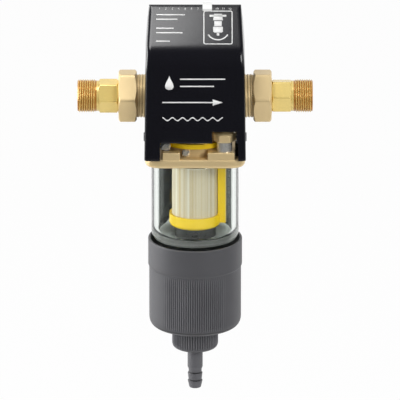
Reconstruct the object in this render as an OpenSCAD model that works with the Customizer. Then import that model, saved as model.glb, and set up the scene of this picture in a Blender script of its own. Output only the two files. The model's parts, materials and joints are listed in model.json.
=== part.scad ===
// Hand-operated self cleaning water filter for a domestic pipe run.
// The origin is the centre of the inlet tail's end face, on the pipe axis.
// Flow runs along +X, up is +Z, and the labelled front of the hood faces -Y.

/* [Pipe tails and unions] */
// Outer diameter of the pipe thread on each tail
thread_d = 26.4; // [22:0.2:30]
// Length of the pipe thread on each tail
thread_len = 15; // [10:0.5:22]
// Bore of the tails and of the ports in the head
pipe_bore_d = 19; // [14:0.5:20]
// Length of the turned collar between thread and hexagon
tail_collar_len = 2; // [1:0.5:4]
// Hexagon of the tail, across flats
tail_hex_af = 24; // [23:0.5:30]
// Length of the hexagon of the tail
tail_hex_len = 15.5; // [10:0.5:24]
// Width of the seat that the union nut pulls on
tail_seat = 1.1; // [0.8:0.1:2.5]
// Thickness of the tail's flange inside the nut
tail_flange_t = 4; // [2.5:0.5:6]
// Thickness of the flat union gasket
gasket_t = 2; // [1:0.5:3]
// Depth of the union thread from the flange's rim to the crest
union_thread_depth = 1.45; // [1:0.05:3]
// Length of the union nut
nut_len = 14.5; // [13:0.5:22]
// Thickness of the nut's end wall
nut_end_t = 4.8; // [3:0.2:7]
// Wall of the nut outside the thread, at a flat
nut_wall = 2.5; // [2:0.1:6]
// Bevel on the corners at the ends of the nut
nut_bevel = 1.6; // [0.8:0.1:3]
// Free length of port thread between hood and nut
port_gap = 6; // [3:0.5:12]

/* [Brass head] */
// Depth of the clamp plate's top below the pipe axis
head_drop = 42.3; // [40:0.1:60]
// Wall of the inner tube that carries the clean water
tube_wall = 2.5; // [1.5:0.1:4]
// Radial width of the dirty water channel round the tube
annulus = 7; // [5:0.5:10]
// Wall of the spigot below the head
spigot_wall = 3; // [2.5:0.1:4]
// Wall of the filter head's neck round the spigot
neck_wall = 5; // [3.5:0.5:7]
// Height of the neck above the plate
neck_h = 7.1; // [6:0.1:9]
// Thickness of the lock ring between head and neck
ring_t = 3.8; // [3:0.1:6]
// How far the lock ring stands out from the neck
ring_lip = 3; // [1.5:0.1:4]
// Metal over the port bore at the top of the head
head_crown = 13; // [8:0.5:20]
// Rounding of the head's top edge
head_round = 9; // [3:0.5:12]
// Thickness of the clamp plate
plate_t = 7.5; // [6:0.1:12]
// Corner radius of the clamp plate
plate_corner = 11; // [8:1:28]
// Height of the two lugs on the plate
lug_h = 5.9; // [4.5:0.1:6.5]

/* [Vent and small screws] */
// Vent hexagon, across flats
vent_af = 15.5; // [11:0.5:17]
// Height of the vent hexagon
vent_h = 8.7; // [5:0.1:10]
// Outer diameter of the bright sleeve under the vent hexagon
sleeve_d = 12.4; // [9:0.2:13]
// Height of the sleeve
sleeve_h = 8.2; // [5:0.1:10]
// Shank diameter of the vent screw
vent_shank_d = 6; // [4:0.2:7]
// Distance of the vent screw to the right of the filter axis
vent_x = 23.4; // [20:0.2:26]
// Head diameter of the lock ring's screw
ring_screw_head_d = 8.4; // [6:0.2:9]
// Shank diameter of the lock ring's screw
ring_screw_d = 3; // [2:0.1:3.4]
// Head diameter of the neck's set screw
neck_screw_head_d = 6.4; // [4:0.2:6.6]

/* [Hood] */
// Wall of the hood
hood_wall = 2.5; // [1.5:0.1:3]
// How far the hood stands outside the bowl at each side
hood_side = 5.5; // [5:0.1:9]
// How far the hood stands outside the bowl at the front
hood_front_over = 3; // [2:0.1:8]
// Distance from the filter axis to the open back of the hood
hood_rear = 30; // [24:0.5:34]
// Height of the flat front above the pipe axis
front_h = 35; // [26:0.5:50]
// Radius of the bend between front and roof
bend_r = 25; // [12:0.5:30]
// Slope of the roof
roof_slope = 45; // [35:1:55]
// Length of the flat roof panel
roof_len = 34; // [20:0.5:40]
// Rounding of the ridge
ridge_r = 3.5; // [3.2:0.1:6]
// Fall of the hood behind the ridge
rear_slope = 33; // [20:1:40]
// Amount by which each side leans in from bottom to bend
lean_low = 1; // [0:0.1:3]
// Amount by which each side leans in from bend to ridge
lean_high = 3; // [0:0.1:5]
// Rounding of the hood's upright edges
hood_corner = 5; // [3.2:0.1:9]
// Height of the window in the hood's front
window_h = 15; // [10:0.5:18]
// Extra height of the window over the vent screw
notch_h = 12; // [6:0.2:14]
// Radius of the screw bosses inside the hood
boss_r = 3.4; // [2.8:0.1:4]
// Distance of the screw bosses from the plate's front and back edges
boss_set_back = 14; // [10:0.5:20]
// Width of the month slider
slider_w = 7.4; // [5:0.2:12]
// Thickness of the month slider
slider_t = 1.4; // [1:0.1:2.5]
// Place of the month slider to the right of the filter axis
slider_x = 9.7; // [-20:0.1:20]

/* [Clear bowl] */
// Wall of the clear bowl
bowl_wall = 5; // [3.5:0.5:7]
// Straight length of the bowl below the plate
bowl_len = 65.7; // [50:0.1:90]
// Height of the taper at the foot of the bowl
taper_h = 9; // [6:0.5:12]
// Amount by which the taper draws in
taper_in = 6.5; // [3:0.5:9]
// Depth to which the bowl enters the plate
bowl_engage = 3.5; // [2.5:0.1:4]
// Thickness of the bowl seal
bowl_seal_t = 1.5; // [1:0.1:2]
// Thickness of the bowl's floor
floor_t = 8.5; // [6:0.5:11]
// Length of the gland below the floor
gland_len = 21; // [18:0.5:30]
// Wall of the gland
gland_wall = 6; // [3:0.5:8]

/* [Filter insert and wiper] */
// Outer diameter of the filter mesh
mesh_d = 37; // [33:0.5:42]
// Length of the filter mesh
mesh_len = 41; // [30:0.5:46]
// Thickness of the mesh sleeve
mesh_t = 0.6; // [0.3:0.1:1.2]
// Width of the water channel between mesh and bowl
channel = 11.5; // [9:0.5:16]
// Wall of the cage that carries the mesh
cage_wall = 2; // [1.2:0.1:3]
// Number of windows round the cage
cage_windows = 8; // [4:1:12]
// Height of the cage's top cap
cap_h = 8; // [7:0.5:11]
// Thickness of the cage's foot
foot_t = 3.5; // [2.5:0.1:5]
// Wall of the wiper's ring
wiper_ring_wall = 1.8; // [1.2:0.1:3]
// How far the wiper's bar stands out from the mesh
bar_out = 6.2; // [4:0.1:7]
// Width of the wiper's bar
bar_w = 5.5; // [3.5:0.1:8]
// Angle of the wiper's bar from +X towards the front
bar_angle = 12; // [0:1:40]
// Thickness of the rubber lip
lip_t = 1.2; // [0.8:0.1:2]
// Thickness of the wiper's floor
wiper_floor_t = 5.9; // [4.5:0.1:8]

/* [Spindle and drain valve] */
// Diameter of the spindle in the gland
spindle_d = 24; // [22.4:0.2:28]
// Diameter of the hub on top of the spindle
hub_d = 33; // [30:0.5:36]
// Height of the hub
hub_h = 11.2; // [9:0.2:14]
// Diameter of the chamber inside the spindle
chamber_d = 16; // [15.2:0.1:17]
// Diameter of the bore that the valve plug closes
seat_d = 13.4; // [12.4:0.1:14]
// Diameter of the outlet below the valve seat
outlet_d = 10.4; // [8:0.2:11]
// Width of the square key that stops the plug from turning
key_w = 5; // [4:0.1:5.4]
// Length of the valve plug
plug_len = 18; // [16:0.5:22]
// Lift of the valve plug
plug_lift = 6; // [4:0.5:6]
// Diameter of the drain thread at the foot of the spindle
drain_thread_d = 20.9; // [20:0.1:23]
// Length of the drive flats between shoulder and drain thread
drive_len = 28; // [24:0.5:32]
// Thickness of the O-rings on the spindle
oring_t = 1.7; // [1.4:0.1:2.2]

/* [Handwheel] */
// Height of the handwheel
wheel_h = 74; // [66:0.5:90]
// Wall of the handwheel at the rim
wheel_wall = 2; // [1.6:0.1:3]
// Gap between bowl and the rim of the handwheel
rim_gap = 0.6; // [0.4:0.1:2]
// Drop of the rim below the start of the bowl's taper
rim_drop = 3.5; // [2:0.1:6]
// Amount by which the handwheel narrows below the smooth band
wheel_draft = 0.8; // [0:0.1:1.5]
// Height of the smooth band under the rim
band_h = 22.5; // [12:0.5:30]
// Rounding of the handwheel's lower edge
wheel_round = 6.7; // [3:0.1:9]
// Thickness of the handwheel's floor
wheel_floor = 3; // [2:0.1:5]
// Number of ribbed panels round the handwheel
panels = 4; // [3:1:6]
// Number of grooves in a panel
panel_grooves = 25; // [8:1:30]
// Angle between two grooves
groove_step = 3.2; // [2.4:0.1:3.5]
// Depth of the grip grooves
groove_depth = 0.8; // [0.3:0.1:1.2]

/* [Drain nut and hose barb] */
// Diameter of the drain nut
drain_nut_d = 37; // [35:0.5:44]
// Height of the drain nut
drain_nut_h = 19.1; // [18:0.1:26]
// Number of grooves round the drain nut
nut_grooves = 56; // [24:4:72]
// Rounding of the drain nut's lower edge
drain_nut_round = 4; // [1.5:0.1:5]
// Diameter of the barb's plain stem
stem_d = 12.2; // [10:0.1:13]
// Length of the plain stem below the nut
stem_len = 16.8; // [8:0.2:22]
// Diameter of the barb's neck
barb_neck_d = 10.5; // [8.6:0.1:11]
// Diameter of the barb's shoulders
barb_d = 11.9; // [11:0.1:13]
// Spacing of the barb's shoulders
barb_pitch = 6.4; // [4:0.1:9]
// Number of the barb's shoulders
barb_count = 2; // [1:1:4]
// Bore of the barb
barb_bore_d = 6.8; // [5:0.1:7]

/* [Hidden] */
$fn = 72;

// Clearances: a running fit, a free gap between moving pieces, and a cut's overshoot
run = 0.06;
free = 0.3;
over = 1;

// Radii of the pipe run, from the tail's hexagon outwards
thread_r = thread_d / 2;
pipe_r = pipe_bore_d / 2;
tail_neck_r = tail_hex_af / sqrt(3);
nut_hole_r = tail_neck_r + free;
tail_flange_r = nut_hole_r + tail_seat;
port_r = tail_flange_r + union_thread_depth;
nut_af = 2 * (port_r + run + nut_wall);

// Radii of the insert and bowl, from the mesh outwards
mesh_r = mesh_d / 2;
cage_r = mesh_r - mesh_t - run;
wiper_r = mesh_r + free;
wiper_ring_r = wiper_r + wiper_ring_wall;
bowl_in_r = mesh_r + channel;
bowl_r = bowl_in_r + bowl_wall;
bowl_top_r = bowl_r - 2;

// Radii of the head
tube_r = pipe_r + tube_wall;
channel_r = tube_r + annulus;
spigot_r = channel_r + spigot_wall;
neck_r = spigot_r + run + neck_wall;
ring_r = neck_r + ring_lip;

// Hood and plate outlines
hood_half = bowl_r + hood_side;
hood_front = bowl_r + hood_front_over;
plate_half_x = hood_half - free;
plate_half_y = bowl_r + 1;
boss_x = hood_half - hood_wall - boss_r + 0.5;
boss_y = plate_half_y - boss_set_back;
boss_h = 12;
pilot_r = 1.2;
screw_head_r = 2 * pilot_r;
screw_head_h = 1.8;

// Places along the pipe, measured from the filter axis
nut_near = hood_half + port_gap;
nut_far = nut_near + nut_len;
port_face = nut_far - nut_end_t - free - tail_flange_t - gasket_t;
tail_in = port_face + gasket_t;
hex_from = nut_far + free;
collar_from = hex_from + tail_hex_len;
thread_from = collar_from + tail_collar_len;
axis_x = thread_from + thread_len;

// Heights of the head, plate and bowl
z_plate_top = -head_drop;
z_plate_bot = z_plate_top - plate_t;
z_neck_top = z_plate_top + neck_h;
z_head_bot = z_neck_top + ring_t;
z_head_top = pipe_r + head_crown;
z_bowl_top = z_plate_bot + bowl_engage;
z_recess = z_bowl_top + bowl_seal_t;
z_spigot_bot = z_plate_top - 1;
z_taper = z_plate_bot - bowl_len;
z_bowl_foot = z_taper - taper_h;
z_bowl_bot = z_bowl_foot - 2.5;
z_floor = z_bowl_bot + floor_t;
z_gland_bot = z_bowl_bot - gland_len;

// Heights of the spindle, wiper and insert, stacked up from the bowl's floor
z_hub_bot = z_floor + free;
z_wiper_bot = z_hub_bot + hub_h;
z_wiper_floor = z_wiper_bot + wiper_floor_t;
z_foot_bot = z_wiper_floor + free;
z_mesh_bot = z_foot_bot + foot_t;
z_mesh_top = z_mesh_bot + mesh_len;
z_cap_top = z_mesh_top + cap_h;
tube_enter = cap_h - 2;
z_tube_bot = z_cap_top - tube_enter;

// Heights of the handwheel, valve and drain
z_rim = z_taper - rim_drop;
z_wheel_bot = z_rim - wheel_h;
z_wheel_floor = z_wheel_bot + wheel_floor;
z_shoulder = z_wheel_bot + drive_len;
z_seat = z_shoulder + 2;
z_plug_bot = z_seat + free;
z_plug_top = z_plug_bot + plug_len;
z_plug_disc = z_plug_bot + 6;
z_seat_top = z_plug_disc - free;
z_key_bot = z_plug_disc + plug_lift + free;
z_spindle_bot = z_wheel_bot - 10;
clip_t = 1.3;
z_clip = z_wheel_bot - free - clip_t;
z_nut_top = z_wheel_bot - free;
z_nut_bot = z_nut_top - drain_nut_h;
barb_gasket_t = 1.4;
barb_flange_t = 2.4;
z_barb_top = z_spindle_bot - barb_gasket_t;
z_barb_flange = z_barb_top - barb_flange_t;
z_stem_bot = z_nut_bot - stem_len;

// Radii of the spindle, handwheel and drain
spindle_r = spindle_d / 2;
gland_r = spindle_r + run;
gland_out_r = gland_r + gland_wall;
hub_r = hub_d / 2;
drain_r = drain_thread_d / 2;
drive_af = drain_thread_d - 2;
clip_groove_r = drain_r - 0.9;
clip_r = drain_r + 3;
wheel_in_r = bowl_r + rim_gap;
wheel_r = wheel_in_r + wheel_wall;
grip_r = wheel_r - wheel_draft;
wheel_hub_r = spindle_r + 4;
seat_r = seat_d / 2;
plug_r = seat_r - 0.1;
outlet_r = outlet_d / 2;
stem_r = stem_d / 2;
barb_flange_r = drain_r - 0.4;
barb_hole_r = stem_r + free;

// Hole for the square key, and the pegs that drive the wiper
key_hole_r = key_w / sqrt(2) + free;
peg_r = 2;
peg_h = 3;
peg_at = (key_hole_r + hub_r) / 2;
hoop_h = 3;

// Half width of an O-ring's groove, and the thinner ring on the valve plug
groove_half = oring_t * 0.6;
valve_seal_t = 1;

// Heights of the seals, and of the hood's ridge
z_spigot_seal = z_plate_top + neck_h * 0.3;
z_cage_seal = z_cap_top - tube_enter / 2;
z_spindle_seals = [for (k = [0.3, 0.7]) z_bowl_bot - gland_len * k];
z_valve_seal = (z_plug_bot + z_plug_disc) / 2 + 0.6;
z_ridge = front_h + (bend_r - ridge_r) * cos(roof_slope) + roof_len * sin(roof_slope) + ridge_r;

// Vent and small screws, with places measured from the filter axis to the front
vent_r = vent_af / sqrt(3);
vent_shank_r = vent_shank_d / 2;
sleeve_r = sleeve_d / 2;
vent_front = sqrt(pow(ring_r + sleeve_r + free, 2) - pow(vent_x, 2));
z_lug_top = z_plate_top + lug_h;
z_sleeve_top = z_lug_top + sleeve_h;
z_vent_bot = z_sleeve_top + free;
lug_front = plate_half_y;
screw_head_share = 0.8;
vent_lug_from = vent_x - 13.4;
vent_lug_to = boss_x - boss_r - free;
screw_lug_from = -26;
screw_lug_to = -12;
ear_x = -23.6;
ear_w = 8.4;
ear_front = 26;
ear_back = sqrt(pow(neck_r + free, 2) - pow(-ear_x - ear_w / 2, 2));
ring_screw_z = z_neck_top + ring_t / 2 - 0.3;
ring_screw_r = ring_screw_d / 2;
neck_screw_x = -7.5;
neck_screw_z = z_plate_top + neck_h / 2;
neck_screw_r = 1.25;
neck_screw_seat = run + sqrt(pow(neck_r, 2) - pow(neck_screw_x + neck_screw_head_d / 2, 2));
window_left = -28;
window_right = boss_x - 0.7;
notch_left = vent_x - vent_r - 3;
notch_right = vent_x + vent_r + 0.8;

// Colours as seen on the real object
brass = [0.80, 0.66, 0.40];
pale_brass = [0.86, 0.74, 0.50];
black_plastic = [0.13, 0.13, 0.16];
grey_plastic = [0.38, 0.38, 0.39];
yellow_plastic = [0.95, 0.77, 0.08];
steel = [0.78, 0.78, 0.80];
rubber = [0.10, 0.10, 0.10];
clear_plastic = [0.86, 0.92, 0.88, 0.45];

// Points along an arc, from angle a0 to a1 in n steps
function arc(c, r, a0, a1, n = 8) =
    [for (i = [0:n]) let (a = a0 + (a1 - a0) * i / n) c + r * [cos(a), sin(a)]];

// Rectangle with round corners, as one outline
function round_rect(x, y, r) = concat(
    arc([x - r, y - r], r, 0, 90), arc([r - x, y - r], r, 90, 180),
    arc([r - x, r - y], r, 180, 270), arc([x - r, r - y], r, 270, 360));

// Moves a piece to the filter's upright axis
module on_axis() translate([axis_x, 0, 0]) children();

// Cylinder standing on the filter axis between two heights
module post(r, z0, z1) translate([0, 0, z0]) cylinder(r = r, h = z1 - z0);

// Washer or sleeve on the filter axis between two heights
module sleeve(r_out, r_in, z0, z1) {
    difference() {
        post(r_out, z0, z1);
        post(r_in, z0 - over, z1 + over);
    }
}

// Cylinder along X between two places on the pipe axis
module pipe(r, x0, x1) translate([x0, 0, 0]) rotate([0, 90, 0]) cylinder(r = r, h = x1 - x0);

// Hexagonal bar along X, given across its corners
module hex_bar(r, x0, x1) translate([x0, 0, 0]) rotate([0, 90, 0]) cylinder(r = r, h = x1 - x0, $fn = 6);

// Round ring of round section on the filter axis
module o_ring(r, t, z) translate([0, 0, z]) rotate_extrude() translate([r, 0]) circle(d = t);

// Outline of a revolved piece: points are given as radius and height
module turned(points) rotate_extrude() polygon(points);

// Ring that leaves V grooves behind when it is cut away from a wall of radius r
module groove_cutter(r, depth, angles, half_step, z0, z1) {
    outer = r + depth;
    outline = [for (a = angles) each [
        outer * [cos(a - half_step), sin(a - half_step)],
        (r - depth) * [cos(a), sin(a)],
        outer * [cos(a + half_step), sin(a + half_step)]]];
    translate([0, 0, z0]) linear_extrude(z1 - z0) difference() {
        circle(r = r + 4 * depth);
        polygon(outline);
    }
}

// Brass head: ports, dirty water channel round the clean water tube, and spigot
module head() {
    color(brass) on_axis() difference() {
        union() {
            turned(concat(
                [[0, z_head_bot], [neck_r, z_head_bot]],
                arc([neck_r - head_round, z_head_top - head_round], head_round, 0, 90),
                [[0, z_head_top]]));
            pipe(port_r, -port_face, port_face);
            post(spigot_r, z_spigot_bot, z_head_bot);
            post(tube_r, z_tube_bot, z_spigot_bot);
        }
        difference() {
            post(channel_r, z_spigot_bot - over, pipe_r + 1);
            post(tube_r, z_tube_bot - 2 * over, pipe_r + 2 * over);
            pipe(tube_r, 0, channel_r + over);
        }
        post(pipe_r, z_tube_bot - over, 0);
        sphere(r = pipe_r);
        pipe(pipe_r, 0, port_face + over);
        pipe(pipe_r, -port_face - over, -tube_r - annulus / 2);
        sleeve(spigot_r + over, spigot_r - oring_t, z_spigot_seal - groove_half, z_spigot_seal + groove_half);
    }
}

// O-ring between the spigot and the neck
module spigot_seal() {
    color(rubber) on_axis() o_ring(spigot_r - oring_t / 2 + run / 2, oring_t, z_spigot_seal);
}

// Yellow ring that locks head and filter head together, with an ear for its screw
module lock_ring() {
    color(yellow_plastic) on_axis() difference() {
        union() {
            post(ring_r, z_neck_top, z_head_bot);
            translate([ear_x - ear_w / 2, -ear_front, z_neck_top])
                cube([ear_w, ear_front - ear_back, ring_t]);
        }
        post(spigot_r + run, z_neck_top - over, z_head_bot + over);
        translate([ear_x, 0, ring_screw_z])
            rotate([90, 0, 0]) cylinder(r = ring_screw_r + run, h = ear_front + over);
    }
}

// Slotted screw with a round head, facing the front at (x, front, z)
module slotted_screw(x, front, z, head_r, shank_r, shank_len) {
    head_t = head_r * screw_head_share;
    slot_w = head_r * 0.3;
    translate([x, -front, z]) rotate([90, 0, 0]) difference() {
        union() {
            turned([[0, 0], [head_r, 0], [head_r, head_t * 0.45], [head_r * 0.62, head_t], [0, head_t]]);
            translate([0, 0, -shank_len]) cylinder(r = shank_r, h = shank_len + head_t / 2);
        }
        rotate([0, 0, 35]) translate([-head_r - over, -slot_w / 2, head_t * 0.5])
            cube([2 * (head_r + over), slot_w, head_t]);
    }
}

// Screw that draws the lock ring tight
module ring_screw() {
    color(steel) on_axis()
        slotted_screw(ear_x, ear_front, ring_screw_z, ring_screw_head_d / 2, ring_screw_r, 6);
}

// Set screw that stops the spigot from turning in the neck
module neck_screw() {
    color(steel) on_axis()
        slotted_screw(neck_screw_x, neck_screw_seat, neck_screw_z, neck_screw_head_d / 2,
            neck_screw_r, neck_wall * 0.6);
}

// Block on the plate between two places across the front, reaching back to a given depth
module lug(x0, x1, back) {
    translate([x0, -lug_front, z_plate_top - over]) cube([x1 - x0, lug_front - back, lug_h + over]);
}

// Brass filter head: clamp plate, neck and two lugs in one forging
module filter_head() {
    color(brass) on_axis() difference() {
        union() {
            translate([0, 0, z_plate_bot]) linear_extrude(plate_t)
                polygon(round_rect(plate_half_x, plate_half_y, plate_corner));
            post(neck_r, z_plate_top - over, z_neck_top);
            lug(vent_lug_from, vent_lug_to, vent_front - sleeve_r - 2);
            lug(screw_lug_from, screw_lug_to, ear_front + screw_head_share * ring_screw_head_d / 2 + free);
        }
        post(spigot_r + run, z_recess - over, z_neck_top + over);
        post(bowl_top_r + run, z_plate_bot - over, z_recess);
        translate([vent_x, -vent_front, z_plate_top - 1])
            cylinder(r = vent_shank_r + run, h = lug_h + 2 * over);
        translate([neck_screw_x, 0, neck_screw_z])
            rotate([90, 0, 0]) cylinder(r = neck_screw_r + run, h = neck_r + over);
        for (x = [-boss_x, boss_x], y = [-boss_y, boss_y])
            translate([x, y, z_plate_bot - over]) {
                cylinder(r = pilot_r + free, h = plate_t + 2 * over);
                cylinder(r = screw_head_r + free, h = screw_head_h + over);
            }
    }
}

// Side view of the hood, drawn a given distance inside its outer face
function hood_side_view(inset, z_low, rear) =
    let (
        a = 90 + roof_slope,
        bend = [bend_r - hood_front, front_h],
        ridge = bend + (bend_r - ridge_r) * [cos(a), sin(a)]
            + roof_len * [cos(roof_slope), sin(roof_slope)],
        crest = arc(ridge, ridge_r - inset, a, 90 - rear_slope),
        last = crest[len(crest) - 1],
        z_rear = last[1] - tan(rear_slope) * (rear - last[0])
    )
    concat(
        [[inset - hood_front, z_low]],
        arc(bend, bend_r - inset, 180, a, 10),
        crest,
        [[rear, z_rear], [rear, z_low]]);

// Front view of the hood, drawn a given distance inside its outer face
function hood_front_view(inset, z_low) =
    let (w0 = hood_half - inset, w1 = w0 - lean_low, w2 = w1 - lean_high)
    [[-w0, z_low], [w0, z_low], [w1, front_h], [w2, z_ridge + over],
        [-w2, z_ridge + over], [-w1, front_h]];

// Solid form of the hood: its side, front and plan views cut one another
module hood_form(inset, z_low, rear) {
    intersection() {
        translate([-hood_half, 0, 0]) rotate([90, 0, 90]) linear_extrude(2 * hood_half)
            polygon(hood_side_view(inset, z_low, rear));
        translate([0, rear, 0]) rotate([90, 0, 0]) linear_extrude(rear + hood_front)
            polygon(hood_front_view(inset, z_low));
        translate([0, hood_rear, z_low]) linear_extrude(z_ridge - z_low + over)
            polygon(round_rect(hood_half - inset, hood_front + hood_rear - inset, hood_corner - inset));
    }
}

// Black hood: thin shell, open at the back and below, with a window over the screws
module hood() {
    slot_r = port_r + 2;
    color(black_plastic) on_axis() difference() {
        union() {
            difference() {
                hood_form(0, z_plate_top, hood_rear);
                hood_form(hood_wall, z_plate_top - over, hood_rear + over);
            }
            for (x = [-boss_x, boss_x], y = [-boss_y, boss_y])
                translate([x, y, z_plate_top]) cylinder(r = boss_r, h = boss_h);
            for (s = [-1, 1])
                translate([s * (hood_half - hood_wall / 2), -hood_front / 3, z_plate_top + boss_h])
                    rotate([0, s * 90, 0]) cylinder(r = 3.6, h = hood_wall / 2 + 0.7);
        }
        translate([window_left, -hood_front - over, z_plate_top - over])
            cube([window_right - window_left, hood_wall + 2 * over, window_h + over]);
        translate([notch_left, -hood_front - over, z_plate_top - over])
            cube([notch_right - notch_left, hood_wall + 2 * over, window_h + notch_h + over]);
        pipe(slot_r, -hood_half - over, hood_half + over);
        translate([-hood_half - over, 0, -slot_r])
            cube([2 * (hood_half + over), hood_rear + over, 2 * slot_r]);
        for (x = [-boss_x, boss_x], y = [-boss_y, boss_y])
            translate([x, y, z_plate_top - over]) cylinder(r = pilot_r + run, h = boss_h);
    }
}

// Four screws, sunk into the plate from below, that hold the hood
module hood_screws() {
    color(steel) on_axis()
        for (x = [-boss_x, boss_x], y = [-boss_y, boss_y])
            translate([x, y, z_plate_bot]) {
                cylinder(r = screw_head_r, h = screw_head_h);
                cylinder(r = pilot_r, h = plate_t + boss_h - 2 * over);
            }
}

// White saddle on the hood's ridge that marks the month of the last cleaning
module month_slider() {
    reach = 5.5;
    ridge_y = bend_r - hood_front + (bend_r - ridge_r) * cos(90 + roof_slope) + roof_len * cos(roof_slope);
    color("white") on_axis() intersection() {
        translate([slider_x - slider_w / 2, 0, 0]) rotate([90, 0, 90]) linear_extrude(slider_w)
            difference() {
                polygon(hood_side_view(-free - slider_t, 0, hood_rear));
                polygon(hood_side_view(-free, -over, hood_rear + over));
            }
        translate([slider_x - slider_w, ridge_y - reach, z_ridge - reach])
            cube([2 * slider_w, 2 * reach, 2 * reach]);
    }
}

// Pipe tail: flange inside the nut, neck, hexagon, collar and threaded end
module tail(turn) {
    bevel = thread_r * 0.08;
    difference() {
        union() {
            pipe(tail_flange_r, tail_in, tail_in + tail_flange_t);
            pipe(tail_neck_r - run, tail_in, hex_from);
            pipe(tail_hex_af / 2 - run, hex_from - over, collar_from + over);
            rotate([turn, 0, 0]) hex_bar(tail_neck_r, hex_from, collar_from);
            pipe(thread_r * 0.94, collar_from, thread_from);
            pipe(thread_r, thread_from, axis_x - bevel);
            translate([axis_x - bevel, 0, 0]) rotate([0, 90, 0])
                cylinder(r1 = thread_r, r2 = thread_r - bevel, h = bevel);
        }
        pipe(pipe_r, tail_in - over, axis_x + over);
    }
}

module inlet_tail() color(brass) on_axis() mirror([1, 0, 0]) tail(33);
module outlet_tail() color(brass) on_axis() tail(20);

// Flat gasket between port and tail
module union_gasket() {
    difference() {
        pipe(tail_flange_r, port_face, tail_in);
        pipe(pipe_r, port_face - over, tail_in + over);
    }
}

module inlet_gasket() color(rubber) on_axis() mirror([1, 0, 0]) union_gasket();
module outlet_gasket() color(rubber) on_axis() union_gasket();

// Union nut: hexagon with turned ends, threaded bore and a hole for the tail
module union_nut(turn) {
    corner_r = nut_af / sqrt(3);
    difference() {
        intersection() {
            rotate([turn, 0, 0]) hex_bar(corner_r, nut_near, nut_far);
            rotate([0, 90, 0]) turned([[0, nut_near], [corner_r - 2 * nut_bevel, nut_near],
                [corner_r + 2 * over, nut_near + nut_bevel + over],
                [corner_r + 2 * over, nut_far - nut_bevel - over],
                [corner_r - 2 * nut_bevel, nut_far], [0, nut_far]]);
        }
        pipe(port_r + run, nut_near - over, nut_far - nut_end_t);
        pipe(nut_hole_r, nut_near, nut_far + over);
    }
}

module inlet_nut() color(pale_brass) on_axis() mirror([1, 0, 0]) union_nut(23);
module outlet_nut() color(pale_brass) on_axis() union_nut(23);

// Bright sleeve that the vent screw clamps on the right lug
module vent_sleeve() {
    color(steel) on_axis() translate([vent_x, -vent_front, 0])
        sleeve(sleeve_r, vent_shank_r + free, z_lug_top, z_sleeve_top);
}

// Vent screw: bevelled hexagon on a plain shank
module vent_screw() {
    flat_r = vent_af / 2;
    z_vent_top = z_vent_bot + vent_h;
    color(pale_brass) on_axis() translate([vent_x, -vent_front, 0]) {
        intersection() {
            translate([0, 0, z_vent_bot]) cylinder(r = vent_r, h = vent_h, $fn = 6);
            turned([[0, z_vent_bot], [vent_r + over, z_vent_bot],
                [vent_r + over, z_vent_top - vent_r - over + flat_r], [flat_r, z_vent_top], [0, z_vent_top]]);
        }
        post(vent_shank_r, z_plate_top, z_vent_bot + over);
    }
}

// Clear bowl: straight wall, tapered foot, funnel floor and gland for the spindle
module bowl() {
    foot_r = bowl_r - taper_in;
    funnel_r = hub_r + 3;
    funnel_h = 6;
    color(clear_plastic) on_axis() turned([
        [bowl_in_r, z_bowl_top], [bowl_top_r, z_bowl_top], [bowl_top_r, z_plate_bot],
        [bowl_r, z_plate_bot], [bowl_r, z_taper], [foot_r, z_bowl_foot], [gland_out_r, z_bowl_bot],
        [gland_out_r, z_gland_bot], [gland_r, z_gland_bot], [gland_r, z_floor],
        [funnel_r, z_floor], [bowl_in_r, z_floor + funnel_h]]);
}

// Flat seal between the bowl's rim and the plate
module bowl_seal() color(rubber) on_axis() sleeve(bowl_top_r - run, bowl_in_r, z_bowl_top, z_recess);

// Cage: cap that seals on the tube, windowed wall and foot
module cage_window_row(z, h) {
    side = 2 * 3.14159 * cage_r / cage_windows - 2 * cage_wall;
    for (i = [0:cage_windows - 1])
        rotate([0, 0, i * 360 / cage_windows])
            translate([cage_r / 2, -side / 2, z]) cube([cage_r, side, h]);
}

module filter_cage() {
    rows = 3;
    row_h = mesh_len / rows;
    color([0.90, 0.87, 0.80]) on_axis() difference() {
        union() {
            post(mesh_r, z_mesh_top, z_cap_top);
            post(cage_r, z_mesh_bot, z_mesh_top);
            post(mesh_r, z_foot_bot, z_mesh_bot);
        }
        post(cage_r - cage_wall, z_mesh_bot, z_mesh_top);
        post(pipe_r, z_mesh_bot, z_cap_top + over);
        post(tube_r + run, z_tube_bot, z_cap_top + over);
        sleeve(tube_r + oring_t + run, tube_r - over, z_cage_seal - groove_half, z_cage_seal + groove_half);
        for (i = [0:rows - 1])
            cage_window_row(z_mesh_bot + i * row_h + cage_wall / 2, row_h - cage_wall);
        translate([-key_w / 2, -key_w / 2, z_foot_bot - over]) cube([key_w, key_w, foot_t + 2 * over]);
    }
}

// Fine mesh sleeve round the cage
module filter_mesh() {
    color([0.80, 0.72, 0.58]) on_axis() sleeve(mesh_r, mesh_r - mesh_t, z_mesh_bot, z_mesh_top);
}

// O-ring between the cage's cap and the clean water tube
module cage_seal() color(rubber) on_axis() o_ring(tube_r + oring_t / 2 + run / 2, oring_t, z_cage_seal);

// Square key from the cage's foot into the valve plug
module valve_key() {
    color(steel) on_axis() translate([-key_w / 2, -key_w / 2, z_key_bot])
        cube([key_w, key_w, z_mesh_bot - z_key_bot]);
}

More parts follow.
